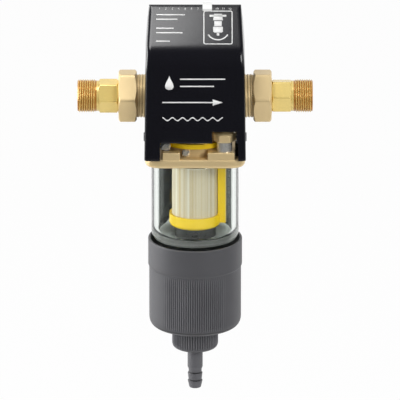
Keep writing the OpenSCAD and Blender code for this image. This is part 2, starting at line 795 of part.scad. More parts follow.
// Yellow wiper: ring below the mesh, upright bar beside it and a hoop round the cap
module wiper() {
    z_hoop = z_cap_top - hoop_h - over;
    round_in = 3;
    color(yellow_plastic) on_axis() difference() {
        union() {
            turned(concat([[key_hole_r, z_wiper_bot]],
                arc([wiper_ring_r - round_in, z_wiper_bot + round_in], round_in, -90, 0, 5),
                [[wiper_ring_r, z_mesh_bot + free], [wiper_r, z_mesh_bot + free],
                    [wiper_r, z_wiper_floor], [key_hole_r, z_wiper_floor]]));
            sleeve(wiper_ring_r, wiper_r, z_hoop, z_hoop + hoop_h);
            rotate([0, 0, -bar_angle]) translate([wiper_r, -bar_w / 2, z_wiper_bot + round_in])
                cube([bar_out - free, bar_w, z_hoop + hoop_h - z_wiper_bot - round_in]);
        }
        rotate([0, 0, -bar_angle]) translate([0, -lip_t / 2, z_mesh_bot + over])
            cube([wiper_r + bar_out / 2, lip_t, mesh_len - 2 * hoop_h]);
        for (s = [-1, 1])
            translate([s * peg_at, 0, z_wiper_bot - over])
                cylinder(r = peg_r + run, h = peg_h + over + free);
    }
}

// Rubber lip in the wiper's bar
module wiper_lip() {
    color(rubber) on_axis() rotate([0, 0, -bar_angle]) translate([wiper_r, -lip_t / 2, z_mesh_bot + over])
        cube([bar_out / 2, lip_t, mesh_len - 2 * hoop_h]);
}

// Cylinder with two flats, for the drive between spindle and handwheel
module double_d(r, af, z0, z1) {
    intersection() {
        post(r, z0, z1);
        translate([-r, -af / 2, z0]) cube([2 * r, af, z1 - z0]);
    }
}

// Hollow spindle: drain ports in its hub, valve seat inside, drive flats and drain thread
module spindle() {
    port_z = z_hub_bot + hub_h * 0.45;
    port_hole_r = hub_h * 0.24;
    top_t = 3;
    color([0.15, 0.15, 0.15]) on_axis() {
        difference() {
            union() {
                post(hub_r, z_hub_bot, z_wiper_bot);
                post(spindle_r, z_shoulder, z_hub_bot);
                double_d(drain_r, drive_af, z_wheel_bot, z_shoulder);
                post(drain_r, z_spindle_bot, z_wheel_bot);
            }
            post(key_hole_r, z_wiper_bot - top_t - over, z_wiper_bot + over);
            post(chamber_d / 2, z_seat_top, z_wiper_bot - top_t);
            post(seat_r, z_seat, z_seat_top + over);
            post(outlet_r, z_spindle_bot - over, z_seat + over);
            for (a = [0, 90])
                rotate([0, 90, a]) translate([-port_z, 0, -hub_r - over])
                    cylinder(r = port_hole_r, h = 2 * (hub_r + over));
            for (z = z_spindle_seals)
                sleeve(spindle_r + over, spindle_r - oring_t - run, z - groove_half, z + groove_half);
            sleeve(drain_r + over, clip_groove_r, z_clip - run, z_clip + clip_t + run);
        }
        for (s = [-1, 1])
            translate([s * peg_at, 0, z_wiper_bot - over]) cylinder(r = peg_r, h = peg_h + over);
    }
}

// Two O-rings that seal the spindle in the gland
module spindle_seals() {
    color(rubber) on_axis()
        for (z = z_spindle_seals) o_ring(spindle_r - oring_t / 2, oring_t, z);
}

// Grip panels: angles of all grooves round the handwheel, with one panel to the front
function panel_angles() = [for (p = [0:panels - 1], i = [0:panel_grooves - 1])
    p * 360 / panels - 90 + (i - (panel_grooves - 1) / 2) * groove_step];

// Grey handwheel: cup with a smooth band, four ribbed grip panels and a driven hub
module handwheel() {
    z_band = z_rim - band_h;
    in_r = grip_r - wheel_wall;
    rim_bevel = 1;
    color(grey_plastic) on_axis() difference() {
        union() {
            difference() {
                turned(concat(
                    [[0, z_wheel_bot]],
                    arc([grip_r - wheel_round, z_wheel_bot + wheel_round], wheel_round, -90, 0),
                    [[grip_r, z_band], [wheel_r, z_rim - rim_bevel], [wheel_r - rim_bevel, z_rim],
                        [0, z_rim]]));
                turned([[0, z_wheel_floor], [in_r - wheel_round, z_wheel_floor],
                    [in_r, z_wheel_floor + wheel_round], [in_r, z_band], [wheel_in_r, z_rim - 3],
                    [wheel_in_r, z_rim + over], [0, z_rim + over]]);
            }
            post(wheel_hub_r, z_wheel_bot + over, z_shoulder - run);
        }
        double_d(drain_r + run, drive_af + 2 * run, z_wheel_bot - over, z_shoulder + over);
        groove_cutter(grip_r, groove_depth, panel_angles(), groove_step * 0.48,
            z_wheel_bot + wheel_round, z_band - 2);
    }
}

// Spring clip under the handwheel's floor
module wheel_clip() {
    gap = clip_groove_r;
    color(steel) on_axis() difference() {
        sleeve(clip_r, clip_groove_r + run, z_clip, z_clip + clip_t);
        translate([0, -gap / 2, z_clip - over]) cube([clip_r + over, gap, clip_t + 2 * over]);
    }
}

// Valve plug: square guide above, round disc with a bevelled foot below
module valve_plug() {
    guide_w = (chamber_d / 2 - free) * sqrt(2) - 0.4;
    bevel = 1.6;
    color([0.20, 0.20, 0.21]) on_axis() difference() {
        union() {
            turned([[0, z_plug_bot], [plug_r - bevel, z_plug_bot], [plug_r, z_plug_bot + bevel],
                [plug_r, z_plug_disc], [0, z_plug_disc]]);
            translate([-guide_w / 2, -guide_w / 2, z_plug_disc])
                cube([guide_w, guide_w, z_plug_top - z_plug_disc]);
        }
        translate([-key_w / 2 - free, -key_w / 2 - free, z_plug_disc])
            cube([key_w + 2 * free, key_w + 2 * free, plug_len]);
        sleeve(plug_r + over, plug_r - valve_seal_t, z_valve_seal - valve_seal_t * 0.6,
            z_valve_seal + valve_seal_t * 0.6);
    }
}

// O-ring on the valve plug
module valve_seal() {
    color(rubber) on_axis() o_ring(plug_r - valve_seal_t / 2 + run / 2, valve_seal_t, z_valve_seal);
}

// Grey drain nut: ribbed ring that clamps the hose barb to the spindle
module drain_nut() {
    r = drain_nut_d / 2;
    top_bevel = 1;
    z_pocket = z_clip - free;
    color(grey_plastic) on_axis() difference() {
        turned(concat(
            [[0, z_nut_bot]],
            arc([r - drain_nut_round, z_nut_bot + drain_nut_round], drain_nut_round, -90, 0),
            [[r, z_nut_top - top_bevel], [r - top_bevel, z_nut_top], [0, z_nut_top]]));
        post(clip_r + free, z_pocket, z_nut_top + over);
        post(drain_r + run, z_barb_flange - free, z_nut_top);
        post(barb_hole_r, z_nut_bot - over, z_barb_top);
        groove_cutter(r, groove_depth, [for (i = [0:nut_grooves - 1]) i * 360 / nut_grooves],
            180 / nut_grooves * 0.96, z_nut_bot + drain_nut_round, z_nut_top - top_bevel);
    }
}

// Flat gasket between spindle and hose barb
module barb_gasket() color(rubber) on_axis() sleeve(barb_flange_r, outlet_r, z_barb_top, z_spindle_bot);

// Hose barb: flange, plain stem, neck and upward shoulders
module hose_barb() {
    tip_r = barb_d / 2 - 1.1;
    neck_r = barb_neck_d / 2;
    neck_h = 4.6;
    relief = 0.2;
    z_barbs = z_stem_bot - neck_h;
    shoulders = [for (i = [0:barb_count - 1]) each [
        [neck_r, z_barbs - i * barb_pitch], [barb_d / 2, z_barbs - i * barb_pitch - 0.4],
        [i == barb_count - 1 ? tip_r : neck_r, z_barbs - (i + 1) * barb_pitch]]];
    color(grey_plastic) on_axis() difference() {
        turned(concat(
            [[0, z_barb_top], [barb_flange_r, z_barb_top], [barb_flange_r, z_barb_flange],
                [stem_r - relief, z_barb_flange], [stem_r - relief, z_nut_bot - over],
                [stem_r, z_nut_bot - over], [stem_r, z_stem_bot], [neck_r, z_stem_bot - 1.6]],
            shoulders,
            [[0, z_barbs - barb_count * barb_pitch]]));
        post(barb_bore_d / 2, z_barbs - barb_count * barb_pitch - over, z_barb_top + over);
    }
}

head();
lock_ring();
ring_screw();
neck_screw();
filter_head();
spigot_seal();
hood();
hood_screws();
month_slider();
inlet_tail();
outlet_tail();
inlet_gasket();
outlet_gasket();
inlet_nut();
outlet_nut();
vent_sleeve();
vent_screw();
bowl();
bowl_seal();
filter_cage();
filter_mesh();
cage_seal();
valve_key();
wiper();
wiper_lip();
spindle();
spindle_seals();
handwheel();
wheel_clip();
valve_plug();
valve_seal();
drain_nut();
barb_gasket();
hose_barb();
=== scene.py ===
"""Looks of a hand-operated self cleaning water filter.

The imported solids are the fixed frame. Shells, threads, ribs and printed marks are surfaces worked out with
numpy, and every visible solid gets a finish. Lengths are metres in the frame of the solids: +X along the
flow, +Z up, and the front of the hood faces -Y.
"""
import json
import math

import bmesh
import bpy
import numpy as np
from bpy.props import FloatProperty, FloatVectorProperty, IntProperty, PointerProperty
from bpy.types import Operator, Panel, PropertyGroup
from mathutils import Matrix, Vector


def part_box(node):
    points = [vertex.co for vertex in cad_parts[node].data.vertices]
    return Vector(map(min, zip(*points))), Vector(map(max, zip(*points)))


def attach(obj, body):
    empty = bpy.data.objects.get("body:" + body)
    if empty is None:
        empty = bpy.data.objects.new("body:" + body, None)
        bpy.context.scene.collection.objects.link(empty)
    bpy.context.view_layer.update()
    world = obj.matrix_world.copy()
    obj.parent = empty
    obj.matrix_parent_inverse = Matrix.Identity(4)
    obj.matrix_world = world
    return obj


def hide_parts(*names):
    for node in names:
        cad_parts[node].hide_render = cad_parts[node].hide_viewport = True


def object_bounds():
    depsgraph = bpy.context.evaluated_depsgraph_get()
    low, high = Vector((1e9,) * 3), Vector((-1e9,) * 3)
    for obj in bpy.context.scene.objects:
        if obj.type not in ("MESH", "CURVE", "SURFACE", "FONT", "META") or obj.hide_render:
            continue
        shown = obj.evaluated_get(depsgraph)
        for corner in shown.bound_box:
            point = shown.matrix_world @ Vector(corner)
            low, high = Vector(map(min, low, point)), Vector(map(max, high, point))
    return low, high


bl_info = {
    "name": "Self cleaning filter",
    "version": (1, 0, 0),
    "blender": (4, 5, 0),
    "location": "3D View > Sidebar > Filter",
    "description": "Shells, threads, ribs, marks and finishes of a self cleaning water filter",
    "category": "Object",
}

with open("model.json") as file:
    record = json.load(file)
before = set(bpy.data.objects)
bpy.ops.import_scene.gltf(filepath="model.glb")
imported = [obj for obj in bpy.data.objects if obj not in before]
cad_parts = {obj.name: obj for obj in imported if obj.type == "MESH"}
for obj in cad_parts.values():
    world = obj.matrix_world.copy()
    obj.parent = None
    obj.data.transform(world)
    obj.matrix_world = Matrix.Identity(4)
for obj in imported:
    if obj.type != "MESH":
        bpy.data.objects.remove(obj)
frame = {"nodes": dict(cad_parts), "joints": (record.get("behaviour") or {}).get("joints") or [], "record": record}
CAD_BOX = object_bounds()
MM = 0.001

# Places that the solids give: the upright axis of the filter, and the boxes that pieces are built in
BOWL_LOW, BOWL_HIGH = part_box("bowl")
HOOD_LOW, HOOD_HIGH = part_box("hood")
PLATE_LOW, PLATE_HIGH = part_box("filter_head")
WHEEL_LOW, WHEEL_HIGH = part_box("handwheel")
NUT_LOW, NUT_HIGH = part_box("drain_nut")
BARB_LOW, BARB_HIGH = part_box("hose_barb")
VENT_LOW, VENT_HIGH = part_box("vent_screw")
SLIDER_LOW, SLIDER_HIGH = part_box("month_slider")
AXIS_X = (BOWL_LOW.x + BOWL_HIGH.x) / 2
MONTHS = 12
# Columns of points across one groove of a grip
GROOVE_COLUMNS = 8


def linear(hex_colour):
    """sRGB hex such as #F5C814 as linear red, green and blue."""
    srgb = np.array([int(hex_colour[i:i + 2], 16) for i in (1, 3, 5)]) / 255
    low = srgb / 12.92
    high = ((srgb + 0.055) / 1.055) ** 2.4
    return tuple(np.where(srgb <= 0.04045, low, high).tolist())


def length(name, description, millimetres):
    """A size that a user may change, given in millimetres and kept in metres."""
    return FloatProperty(name=name, description=description, default=millimetres * MM, unit="LENGTH",
                         precision=5)


def angle(name, description, degrees):
    """An angle that a user may change, given in degrees."""
    return FloatProperty(name=name, description=description, default=math.radians(degrees), subtype="ANGLE")


def colour(name, description, hex_colour):
    """A colour that a user may change, given as sRGB hex and kept linear."""
    return FloatVectorProperty(name=name, description=description, default=linear(hex_colour),
                               subtype="COLOR", size=3, min=0.0, max=1.0)


class FilterSizes(PropertyGroup):
    """Sizes of the new surfaces that the solids don't already give."""

    hood_wall: length("Hood wall", "Thickness of the hood's wall", 2.5)
    hood_corner: length("Hood corner", "Rounding of the hood's upright edges", 3.2)
    bend_radius: length("Bend radius", "Radius of the bend between front and roof", 25)
    roof_length: length("Roof length", "Length of the flat roof panel", 34)
    roof_slope: angle("Roof slope", "Slope of the roof", 45)
    ridge_radius: length("Ridge radius", "Rounding of the ridge", 3.5)
    rear_slope: angle("Rear slope", "Fall of the hood behind the ridge", 33)
    lean_low: length("Lower lean", "Lean of each side from bottom to bend", 1)
    lean_high: length("Upper lean", "Lean of each side from bend to ridge", 3)
    window_left: length("Window left", "Left edge of the front window from the axis", -28)
    window_right: length("Window right", "Right edge of the front window from the axis", 34.4)
    window_height: length("Window height", "Height of the front window over the plate", 15)
    notch_height: length("Notch height", "Extra height of the window over the vent screw", 9.6)
    notch_room: length("Notch room", "Room on each side of the vent screw in the notch", 0.8)
    slot_radius: length("Slot radius", "Radius of the side slots round the ports", 18.7)
    button_radius: length("Button radius", "Radius of the release buttons on the hood's sides", 3.6)
    button_proud: length("Button height", "How far the release buttons stand out", 0.7)
    boss_radius: length("Boss radius", "Radius of the screw bosses inside the hood", 3.4)
    boss_height: length("Boss height", "Height of the screw bosses inside the hood", 12)

    bowl_wall: length("Bowl wall", "Wall of the clear bowl", 5)
    bowl_straight: length("Bowl length", "Straight length of the bowl below the plate", 65.7)
    bowl_taper: length("Bowl taper", "Height of the taper at the foot of the bowl", 9)
    bowl_draw_in: length("Taper draw-in", "Amount by which the taper draws in", 6.5)
    bowl_floor: length("Bowl floor", "Thickness of the bowl's floor", 8.5)
    funnel_radius: length("Funnel radius", "Radius at the foot of the bowl's funnel floor", 19.5)
    funnel_height: length("Funnel height", "Height of the bowl's funnel floor", 6)
    gland_length: length("Gland length", "Length of the gland below the bowl", 21)
    gland_radius: length("Gland radius", "Outer radius of the gland", 18.06)
    gland_bore: length("Gland bore", "Bore radius of the gland", 12.06)

    plate_thickness: length("Plate thickness", "Thickness of the clamp plate", 7.5)
    plate_bore: length("Plate bore", "Radius of the spigot's bore in the plate", 22.06)
    plate_recess: length("Plate recess", "Radius of the recess that takes the bowl", 33.06)
    neck_radius: length("Neck radius", "Radius of the neck on the plate", 27.06)
    lug_height: length("Lug height", "Height of the two lugs on the plate", 5.9)

    pipe_length: length("Pipe thread length", "Length of the pipe thread on the tails", 15)
    pipe_radius: length("Pipe thread radius", "Radius over the crests of the pipe thread", 13.2)
    pipe_pitch: length("Pipe pitch", "Pitch of the pipe thread on the tails", 1.814)
    pipe_depth: length("Pipe thread depth", "Depth of the pipe thread on the tails", 1.0)
    union_pitch: length("Union pitch", "Pitch of the union thread on the ports", 2.309)
    union_depth: length("Union thread depth", "Height of the union thread's ridges", 0.6)

    band_height: length("Band height", "Height of the smooth band under the handwheel's rim", 22.5)
    grip_draft: length("Grip draft", "Amount by which the handwheel narrows below the band", 0.8)
    wheel_wall: length("Wheel wall", "Wall of the handwheel at the rim", 2)
    wheel_round: length("Wheel rounding", "Rounding of the handwheel's lower edge", 6.7)
    groove_depth: length("Groove depth", "Depth of the grip grooves", 0.7)
    groove_step: angle("Groove step", "Angle between two grip grooves", 2.85)
    panel_grooves: IntProperty(name="Panel grooves", description="Grooves in a grip panel", default=31, min=1)
    panels: IntProperty(name="Panels", description="Grip panels round the handwheel", default=2, min=1)
    nut_grooves: IntProperty(name="Nut grooves", description="Grooves round the drain nut", default=56, min=3)


class FilterColours(PropertyGroup):
    """Colours of the finishes."""

    forged: colour("Forged brass", "Union nuts, clamp plate, head and vent screw", "#EAD09C")
    turned: colour("Turned brass", "Pipe tails", "#F4D985")
    # Painted shade: the brown that the threads of the pipe tails are mixed towards, most in their roots
    thread_root: colour("Thread root", "Darker brass in the roots of the threads", "#B06A10")
    hood: colour("Hood", "Black moulded hood", "#111117")
    grip: colour("Grip", "Grey handwheel, drain nut and hose barb", "#525255")
    # Also painted shade on the outer skin of the bowl's foot, in the gap inside the wheel's rim
    dark: colour("Dark plastic", "Spindle, valve plug and the foot of the bowl", "#191A1A")
    yellow: colour("Yellow", "Lock ring and wiper", "#F0C806")
    white: colour("White", "Month slider, cage and printed marks", "#ECECEA")
    clear: colour("Clear", "Clear bowl", "#F7FCF8")
    steel: colour("Plated steel", "Screws, sleeve and clip", "#EDEDE8")
    mesh: colour("Mesh", "Fine filter mesh", "#C6B088")
    rubber: colour("Rubber", "Seals and wiper lip", "#141414")


def grid_quads(rows, columns, loop_rows, loop_columns):
    """Quads between neighbours of a grid: point (i, j) has number i * columns + j, and loops wrap round."""
    i = np.arange(rows if loop_rows else rows - 1)[:, None]
    j = np.arange(columns if loop_columns else columns - 1)[None, :]
    i_next = (i + 1) % rows
    j_next = (j + 1) % columns
    corners = (i * columns + j, i * columns + j_next, i_next * columns + j_next, i_next * columns + j)
    return np.stack(np.broadcast_arrays(*corners), -1)


def patch(grid, loop_rows=True, loop_columns=True, keep=None):
    """A grid of points as a list of points and quads. keep is a mask of the quads that stay."""
    quads = grid_quads(grid.shape[0], grid.shape[1], loop_rows, loop_columns)
    quads = quads.reshape(-1, 4) if keep is None else quads[keep]
    used, numbers = np.unique(quads, return_inverse=True)
    return grid.reshape(-1, 3)[used], numbers.reshape(-1, 4)


def piece(name, patches, body, slot, nodes=(), coat=None, sharp=35.0, closed=True, painted_light=None):
    """Joins patches into one mesh object that rides on a body and may stand for CAD nodes.
    Points that coincide, at poles and seams, are merged, and closed forms have their normals turned outwards.
    coat names a finish other than the slot's own, and the last argument gives each point a value of painted light,
    from -1 for painted shade in a root to 1 for a painted highlight on a crest."""
    weld, sliver = 0.001 * MM, 0.0005 * MM
    starts = np.cumsum([0] + [len(points) for points, _ in patches[:-1]])
    points = np.concatenate([points for points, _ in patches])
    faces = [face for start, (_, quads) in zip(starts, patches) for face in (quads + start).tolist()]
    mesh = bpy.data.meshes.new(name)
    mesh.from_pydata(points.tolist(), [], faces)
    # Painted light per point, kept as an attribute that the grey nylon finish reads
    if painted_light is not None:
        mesh.attributes.new("painted_light", "FLOAT", "POINT").data.foreach_set("value", np.ravel(painted_light))
    work = bmesh.new()
    work.from_mesh(mesh)
    bmesh.ops.remove_doubles(work, verts=work.verts, dist=weld)
    bmesh.ops.dissolve_degenerate(work, edges=work.edges, dist=sliver)
    if closed:
        bmesh.ops.recalc_face_normals(work, faces=work.faces)
    work.to_mesh(mesh)
    work.free()
    mesh.shade_smooth()
    mesh.set_sharp_from_angle(angle=math.radians(sharp))
    mesh.materials.append(material(coat or slot))
    made = bpy.data.objects.new(name, mesh)
    bpy.context.scene.collection.objects.link(made)
    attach(made, body)
    if nodes:
        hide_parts(*nodes)
    return made


def modify(made, kind, **settings):
    """Adds a modifier with its settings."""
    modifier = made.modifiers.new(kind.lower(), kind)
    for key, value in settings.items():
        setattr(modifier, key, value)


def around(count, start=0.0):
    """Angles of equal steps round a full turn, without the repeated last one."""
    return start + np.arange(count) * (2 * np.pi / count)


def ease(corners, cuts, steps=5):
    """Closed outline with eased corners. Corner P becomes (1-t)^2 A + 2t(1-t) P + t^2 B, where A and B lie
    the cut before and after P on its two sides."""
    corners = np.asarray(corners, float)
    back = np.roll(corners, 1, 0) - corners
    ahead = np.roll(corners, -1, 0) - corners
    back_length = np.linalg.norm(back, axis=1)
    ahead_length = np.linalg.norm(ahead, axis=1)
    cut = np.minimum(cuts, 0.49 * np.minimum(back_length, ahead_length))
    first = corners + back * (cut / back_length)[:, None]
    last = corners + ahead * (cut / ahead_length)[:, None]
    t = np.linspace(0, 1, steps)[None, :, None]
    curve = (1 - t) ** 2 * first[:, None] + 2 * t * (1 - t) * corners[:, None] + t ** 2 * last[:, None]
    return curve.reshape(-1, 2)


def finer(outline, longest):
    """Closed outline whose sides are split into equal steps no longer than a given length."""
    ahead = np.roll(outline, -1, 0) - outline
    parts = np.maximum(1, np.ceil(np.linalg.norm(ahead, axis=1) / longest)).astype(int)
    which = np.repeat(np.arange(len(outline)), parts)
    step = np.arange(len(which)) - np.repeat(np.cumsum(parts) - parts, parts)
    return outline[which] + ahead[which] * (step / parts[which])[:, None]


def rings(values, angles):
    """Rows of a surface of revolution: each radius or height stays the same all the way round."""
    return np.repeat(np.asarray(values, float)[:, None], len(angles), 1)


def spin(radius, height, angles, along="Z", centre=(0.0, 0.0, 0.0)):
    """Surface of revolution: (r cos a, r sin a, h) about an axis along Z, or the same turned to lie along X.
    The radius may change with the angle, as on ribs, threads and hexagons."""
    radius = radius if np.ndim(radius) == 2 else rings(radius, angles)
    height = rings(height, angles)
    side, other = radius * np.cos(angles), radius * np.sin(angles)
    order = (height, side, other) if along == "X" else (side, other, height)
    return np.stack(order, -1) + np.asarray(centre)


def hexagon(angles, across_flats, roundness):
    """Polar radius of a hexagon with eased corners: half its width over the p-norm of its face distances."""
    faces = np.arange(6)[:, None] * np.pi / 3
    reach = np.maximum(np.cos(angles[None, :] - faces), 0)
    return across_flats / 2 / (reach ** roundness).sum(0) ** (1 / roundness)


def thread(along, angles, pitch):
    """Height of a screw thread from 0 in its root to 1 on its crest: a trapezoid wave of axial place less the
    share of a turn."""
    root, flank = 0.12, 0.7
    phase = along[:, None] / pitch - angles[None, :] / (2 * np.pi)
    wave = np.abs((phase % 1.0) - 0.5) * 2
    return np.clip((wave - root) / flank, 0, 1)


def arc_reach(radius, offset):
    """Half chord of a circle at a distance from its centre: sqrt(r^2 - d^2), and 0 outside it."""
    return np.sqrt(np.maximum(radius ** 2 - offset ** 2, 0))


def blend_columns(start, end, shares):
    """Points between two columns of values, at the given shares of the way."""
    return start[:, None] * (1 - shares) + end[:, None] * shares


def roof_lines(sizes):
    """Places on the hood's side view: the centres of bend and ridge, and the ends of bend, roof, crest and
    rear fall."""
    ridge_z = HOOD_HIGH.z - sizes.ridge_radius
    step = sizes.bend_radius - sizes.ridge_radius
    bend_y = HOOD_LOW.y + sizes.bend_radius
    ridge_y = bend_y - step * math.sin(sizes.roof_slope) + sizes.roof_length * math.cos(sizes.roof_slope)
    crest_y = ridge_y + sizes.ridge_radius * math.sin(sizes.rear_slope)
    crest_z = ridge_z + sizes.ridge_radius * math.cos(sizes.rear_slope)
    bend_z = ridge_z - step * math.cos(sizes.roof_slope) - sizes.roof_length * math.sin(sizes.roof_slope)
    return {
        "bend_y": bend_y,
        "bend_z": bend_z,
        "bend_top": bend_z + sizes.bend_radius * math.cos(sizes.roof_slope),
        "ridge_y": ridge_y,
        "ridge_z": ridge_z,
        "roof_y": ridge_y - sizes.ridge_radius * math.sin(sizes.roof_slope),
        "roof_z": ridge_z + sizes.ridge_radius * math.cos(sizes.roof_slope),
        "crest_y": crest_y,
        "crest_z": crest_z,
        "rear_z": crest_z - math.tan(sizes.rear_slope) * (HOOD_HIGH.y - crest_y),
    }


def hood_half_width(sizes, z):
    """Half width of the hood at a height: it leans in a little up to the bend and more above it."""
    half = (HOOD_HIGH.x - HOOD_LOW.x) / 2 - sizes.button_proud
    low = half - sizes.lean_low
    heights = [HOOD_LOW.z, roof_lines(sizes)["bend_z"], HOOD_HIGH.z + MM]
    return np.interp(z, heights, [half, low, low - sizes.lean_high])


def hood_patch(sizes):
    """Outer face of the hood as level slices. Each slice runs from the middle of the back round the left
    side, the front and the right side: straight sides joined by quarter circles. The front of a slice follows
    the upright front, the bend, the roof and the ridge, and its back follows the open back or the rear
    fall."""
    line = roof_lines(sizes)
    window_top = plate_top(sizes) + sizes.window_height
    notch_top = window_top + sizes.notch_height
    upright = np.pi / 2
    z = np.concatenate([
        np.linspace(HOOD_LOW.z, window_top, 5),
        np.linspace(window_top, notch_top, 4),
        sizes.slot_radius * np.sin(np.linspace(-upright, upright, 25)),
        np.linspace(sizes.slot_radius, line["bend_z"], 5),
        line["bend_z"] + sizes.bend_radius * np.sin(np.linspace(0, upright - sizes.roof_slope, 15)),
        np.linspace(line["bend_top"], line["roof_z"], 14),
        [line["rear_z"]],
        line["ridge_z"] + sizes.ridge_radius * np.sin(np.linspace(upright - sizes.roof_slope, upright, 11)),
    ])
    z = np.unique(np.round(z, 7))
    front = np.select(
        [z <= line["bend_z"], z <= line["bend_top"], z <= line["roof_z"]],
        [np.full_like(z, HOOD_LOW.y), line["bend_y"] - arc_reach(sizes.bend_radius, z - line["bend_z"]),
         line["roof_y"] - (line["roof_z"] - z) / math.tan(sizes.roof_slope)],
        line["ridge_y"] - arc_reach(sizes.ridge_radius, z - line["ridge_z"]))
    rear = np.select(
        [z <= line["rear_z"], z <= line["crest_z"]],
        [np.full_like(z, HOOD_HIGH.y), line["crest_y"] + (line["crest_z"] - z) / math.tan(sizes.rear_slope)],
        line["ridge_y"] + arc_reach(sizes.ridge_radius, z - line["ridge_z"]))
    width = hood_half_width(sizes, z)
    corner_share, corner_rise = 0.45, 0.7
    most = corner_share * (rear - front)
    front_corner = np.minimum(sizes.hood_corner, most)
    rear_corner = np.clip(np.minimum(corner_rise * (z - line["rear_z"]), most), 0, sizes.hood_corner)
    corner_y = front + front_corner
    slot_y = np.clip(-arc_reach(sizes.slot_radius, z), corner_y, rear - rear_corner)

    flat = width[0] - sizes.hood_corner
    notch_left = VENT_LOW.x - sizes.notch_room - AXIS_X
    notch_right = VENT_HIGH.x + sizes.notch_room - AXIS_X
    stops = np.abs([sizes.window_left, sizes.window_right, notch_left, notch_right])
    front_shares = np.unique(np.concatenate([stops / flat, np.linspace(0, 0.9, 10), [0.96, 0.985]]))[::-1]
    quarter = np.linspace(0, upright, 9)
    rear_shares = np.linspace(0, 1, 10)[:-1]
    few = np.linspace(0, 1, 7)[1:]
    side = -width[:, None] * np.ones(len(few))
    rear_in, front_in = width - rear_corner, width - front_corner
    xs = [-rear_in[:, None] * rear_shares,
          -rear_in[:, None] - rear_corner[:, None] * np.sin(quarter),
          side, side[:, :-1],
          -front_in[:, None] - front_corner[:, None] * np.cos(quarter),
          -front_in[:, None] * front_shares]
    ys = [rear[:, None] * np.ones(len(rear_shares)),
          rear[:, None] - rear_corner[:, None] * (1 - np.cos(quarter)),
          blend_columns(rear - rear_corner, slot_y, few),
          blend_columns(slot_y, corner_y, few[:-1]),
          corner_y[:, None] - front_corner[:, None] * np.sin(quarter),
          front[:, None] * np.ones(len(front_shares))]
    stretch = np.repeat(np.arange(len(xs)), [part.shape[1] for part in xs])
    left_x, left_y = np.concatenate(xs, 1), np.concatenate(ys, 1)
    x = np.concatenate([left_x, -left_x[:, ::-1][:, 1:]], 1)
    y = np.concatenate([left_y, left_y[:, ::-1][:, 1:]], 1)
    grid = np.stack([x + AXIS_X, y, np.repeat(z[:, None], x.shape[1], 1)], -1)

    stretch = np.concatenate([stretch[1:], stretch[1:][::-1]])[None, :]
    z_mid = ((z[1:] + z[:-1]) / 2)[:, None]
    x_mid = (x[:-1, 1:] + x[:-1, :-1]) / 2
    last_rear, behind_slot, in_front = 1, 2, 5
    rear_open = (stretch <= last_rear) & (z_mid < line["rear_z"])
    slot_open = (stretch == behind_slot) & (np.abs(z_mid) < sizes.slot_radius)
    window = (z_mid < window_top) & (x_mid > sizes.window_left) & (x_mid < sizes.window_right)
    notch = (z_mid < notch_top) & (x_mid > notch_left) & (x_mid < notch_right)
    front_open = (stretch == in_front) & (window | notch)
    return patch(grid, False, False, ~(rear_open | slot_open | front_open))


def turned_patch(corners, cuts, angles, along="Z", centre=(0.0, 0.0, 0.0), longest=None):
    """Closed profile of radius and height with eased corners, carried round an axis."""
    profile = ease(corners, cuts)
    profile = profile if longest is None else finer(profile, longest)
    return patch(spin(profile[:, 0], profile[:, 1], angles, along, centre))


def on_axis(z=0.0):
    """A point on the filter's upright axis."""
    return (AXIS_X, 0.0, z)


def plate_top(sizes):
    """Height of the clamp plate's upper face."""
    return PLATE_LOW.z + sizes.plate_thickness


def box_radius(low, high):
    """Radius of a round piece: half the width of its box."""
    return (high.x - low.x) / 2


def bowl_inside(sizes):
    """Radius inside the clear bowl and the height of its floor."""
    floor = BOWL_LOW.z + sizes.gland_length + sizes.bowl_floor
    return box_radius(BOWL_LOW, BOWL_HIGH) - sizes.bowl_wall, floor


def to_nearest(angles, centres):
    """Angle between each direction and the nearest of some centres."""
    return np.abs((angles[:, None] - centres[None, :] + np.pi) % (2 * np.pi) - np.pi).min(1)


def ribs(angles, centres, half_width):
    """Depth of grooves from 0 on the land to 1 in the root: a raised cosine of the angle to the nearest."""
    return 0.5 + 0.5 * np.cos(np.pi * np.clip(to_nearest(angles, centres) / half_width, 0, 1))


def ramp(value, start, end):
    """Smooth step from 0 at start to 1 at end."""
    t = np.clip((value - start) / (end - start), 0, 1)
    return t * t * (3 - 2 * t)


def feed(tree, node, inputs):
    """Sets or links a node's inputs by name or number. A node given as value stands for its first output."""
    for key, value in inputs.items():
        if isinstance(value, bpy.types.Node):
            value = next(output for output in value.outputs if output.enabled)
        if isinstance(value, bpy.types.NodeSocket):
            tree.links.new(value, node.inputs[key])
        else:
            node.inputs[key].default_value = value


def add(tree, kind, inputs=None, **settings):
    """Adds a node, sets its properties and feeds its inputs."""
    node = tree.nodes.new(kind)
    for key, value in settings.items():
        setattr(node, key, value)
    feed(tree, node, inputs or {})
    return node


def blank_tree(owner):
    """The node tree of a material or a world, emptied."""
    owner.use_nodes = True
    owner.node_tree.nodes.clear()
    return owner.node_tree


def per_mm(size):
    """Texture scale at which one feature measures this many millimetres."""
    return 1 / (size * MM)


def grey(level):
    """A grey with full alpha."""
    return (level, level, level, 1.0)


def tint(base, factor):
    """A lighter or darker tone of a colour, with full alpha."""
    return (*(min(1.0, channel * factor) for channel in base), 1.0)


def finish(name, base, **constants):
    """New material with a Principled shader whose constant sockets are set directly."""
    made = bpy.data.materials.new(name)
    tree = blank_tree(made)
    shader = add(tree, "ShaderNodeBsdfPrincipled", {"Base Color": (*base, 1.0), **constants})
    add(tree, "ShaderNodeOutputMaterial", {"Surface": shader})
    place = add(tree, "ShaderNodeTexCoord").outputs["Object"]
    return made, tree, shader, place


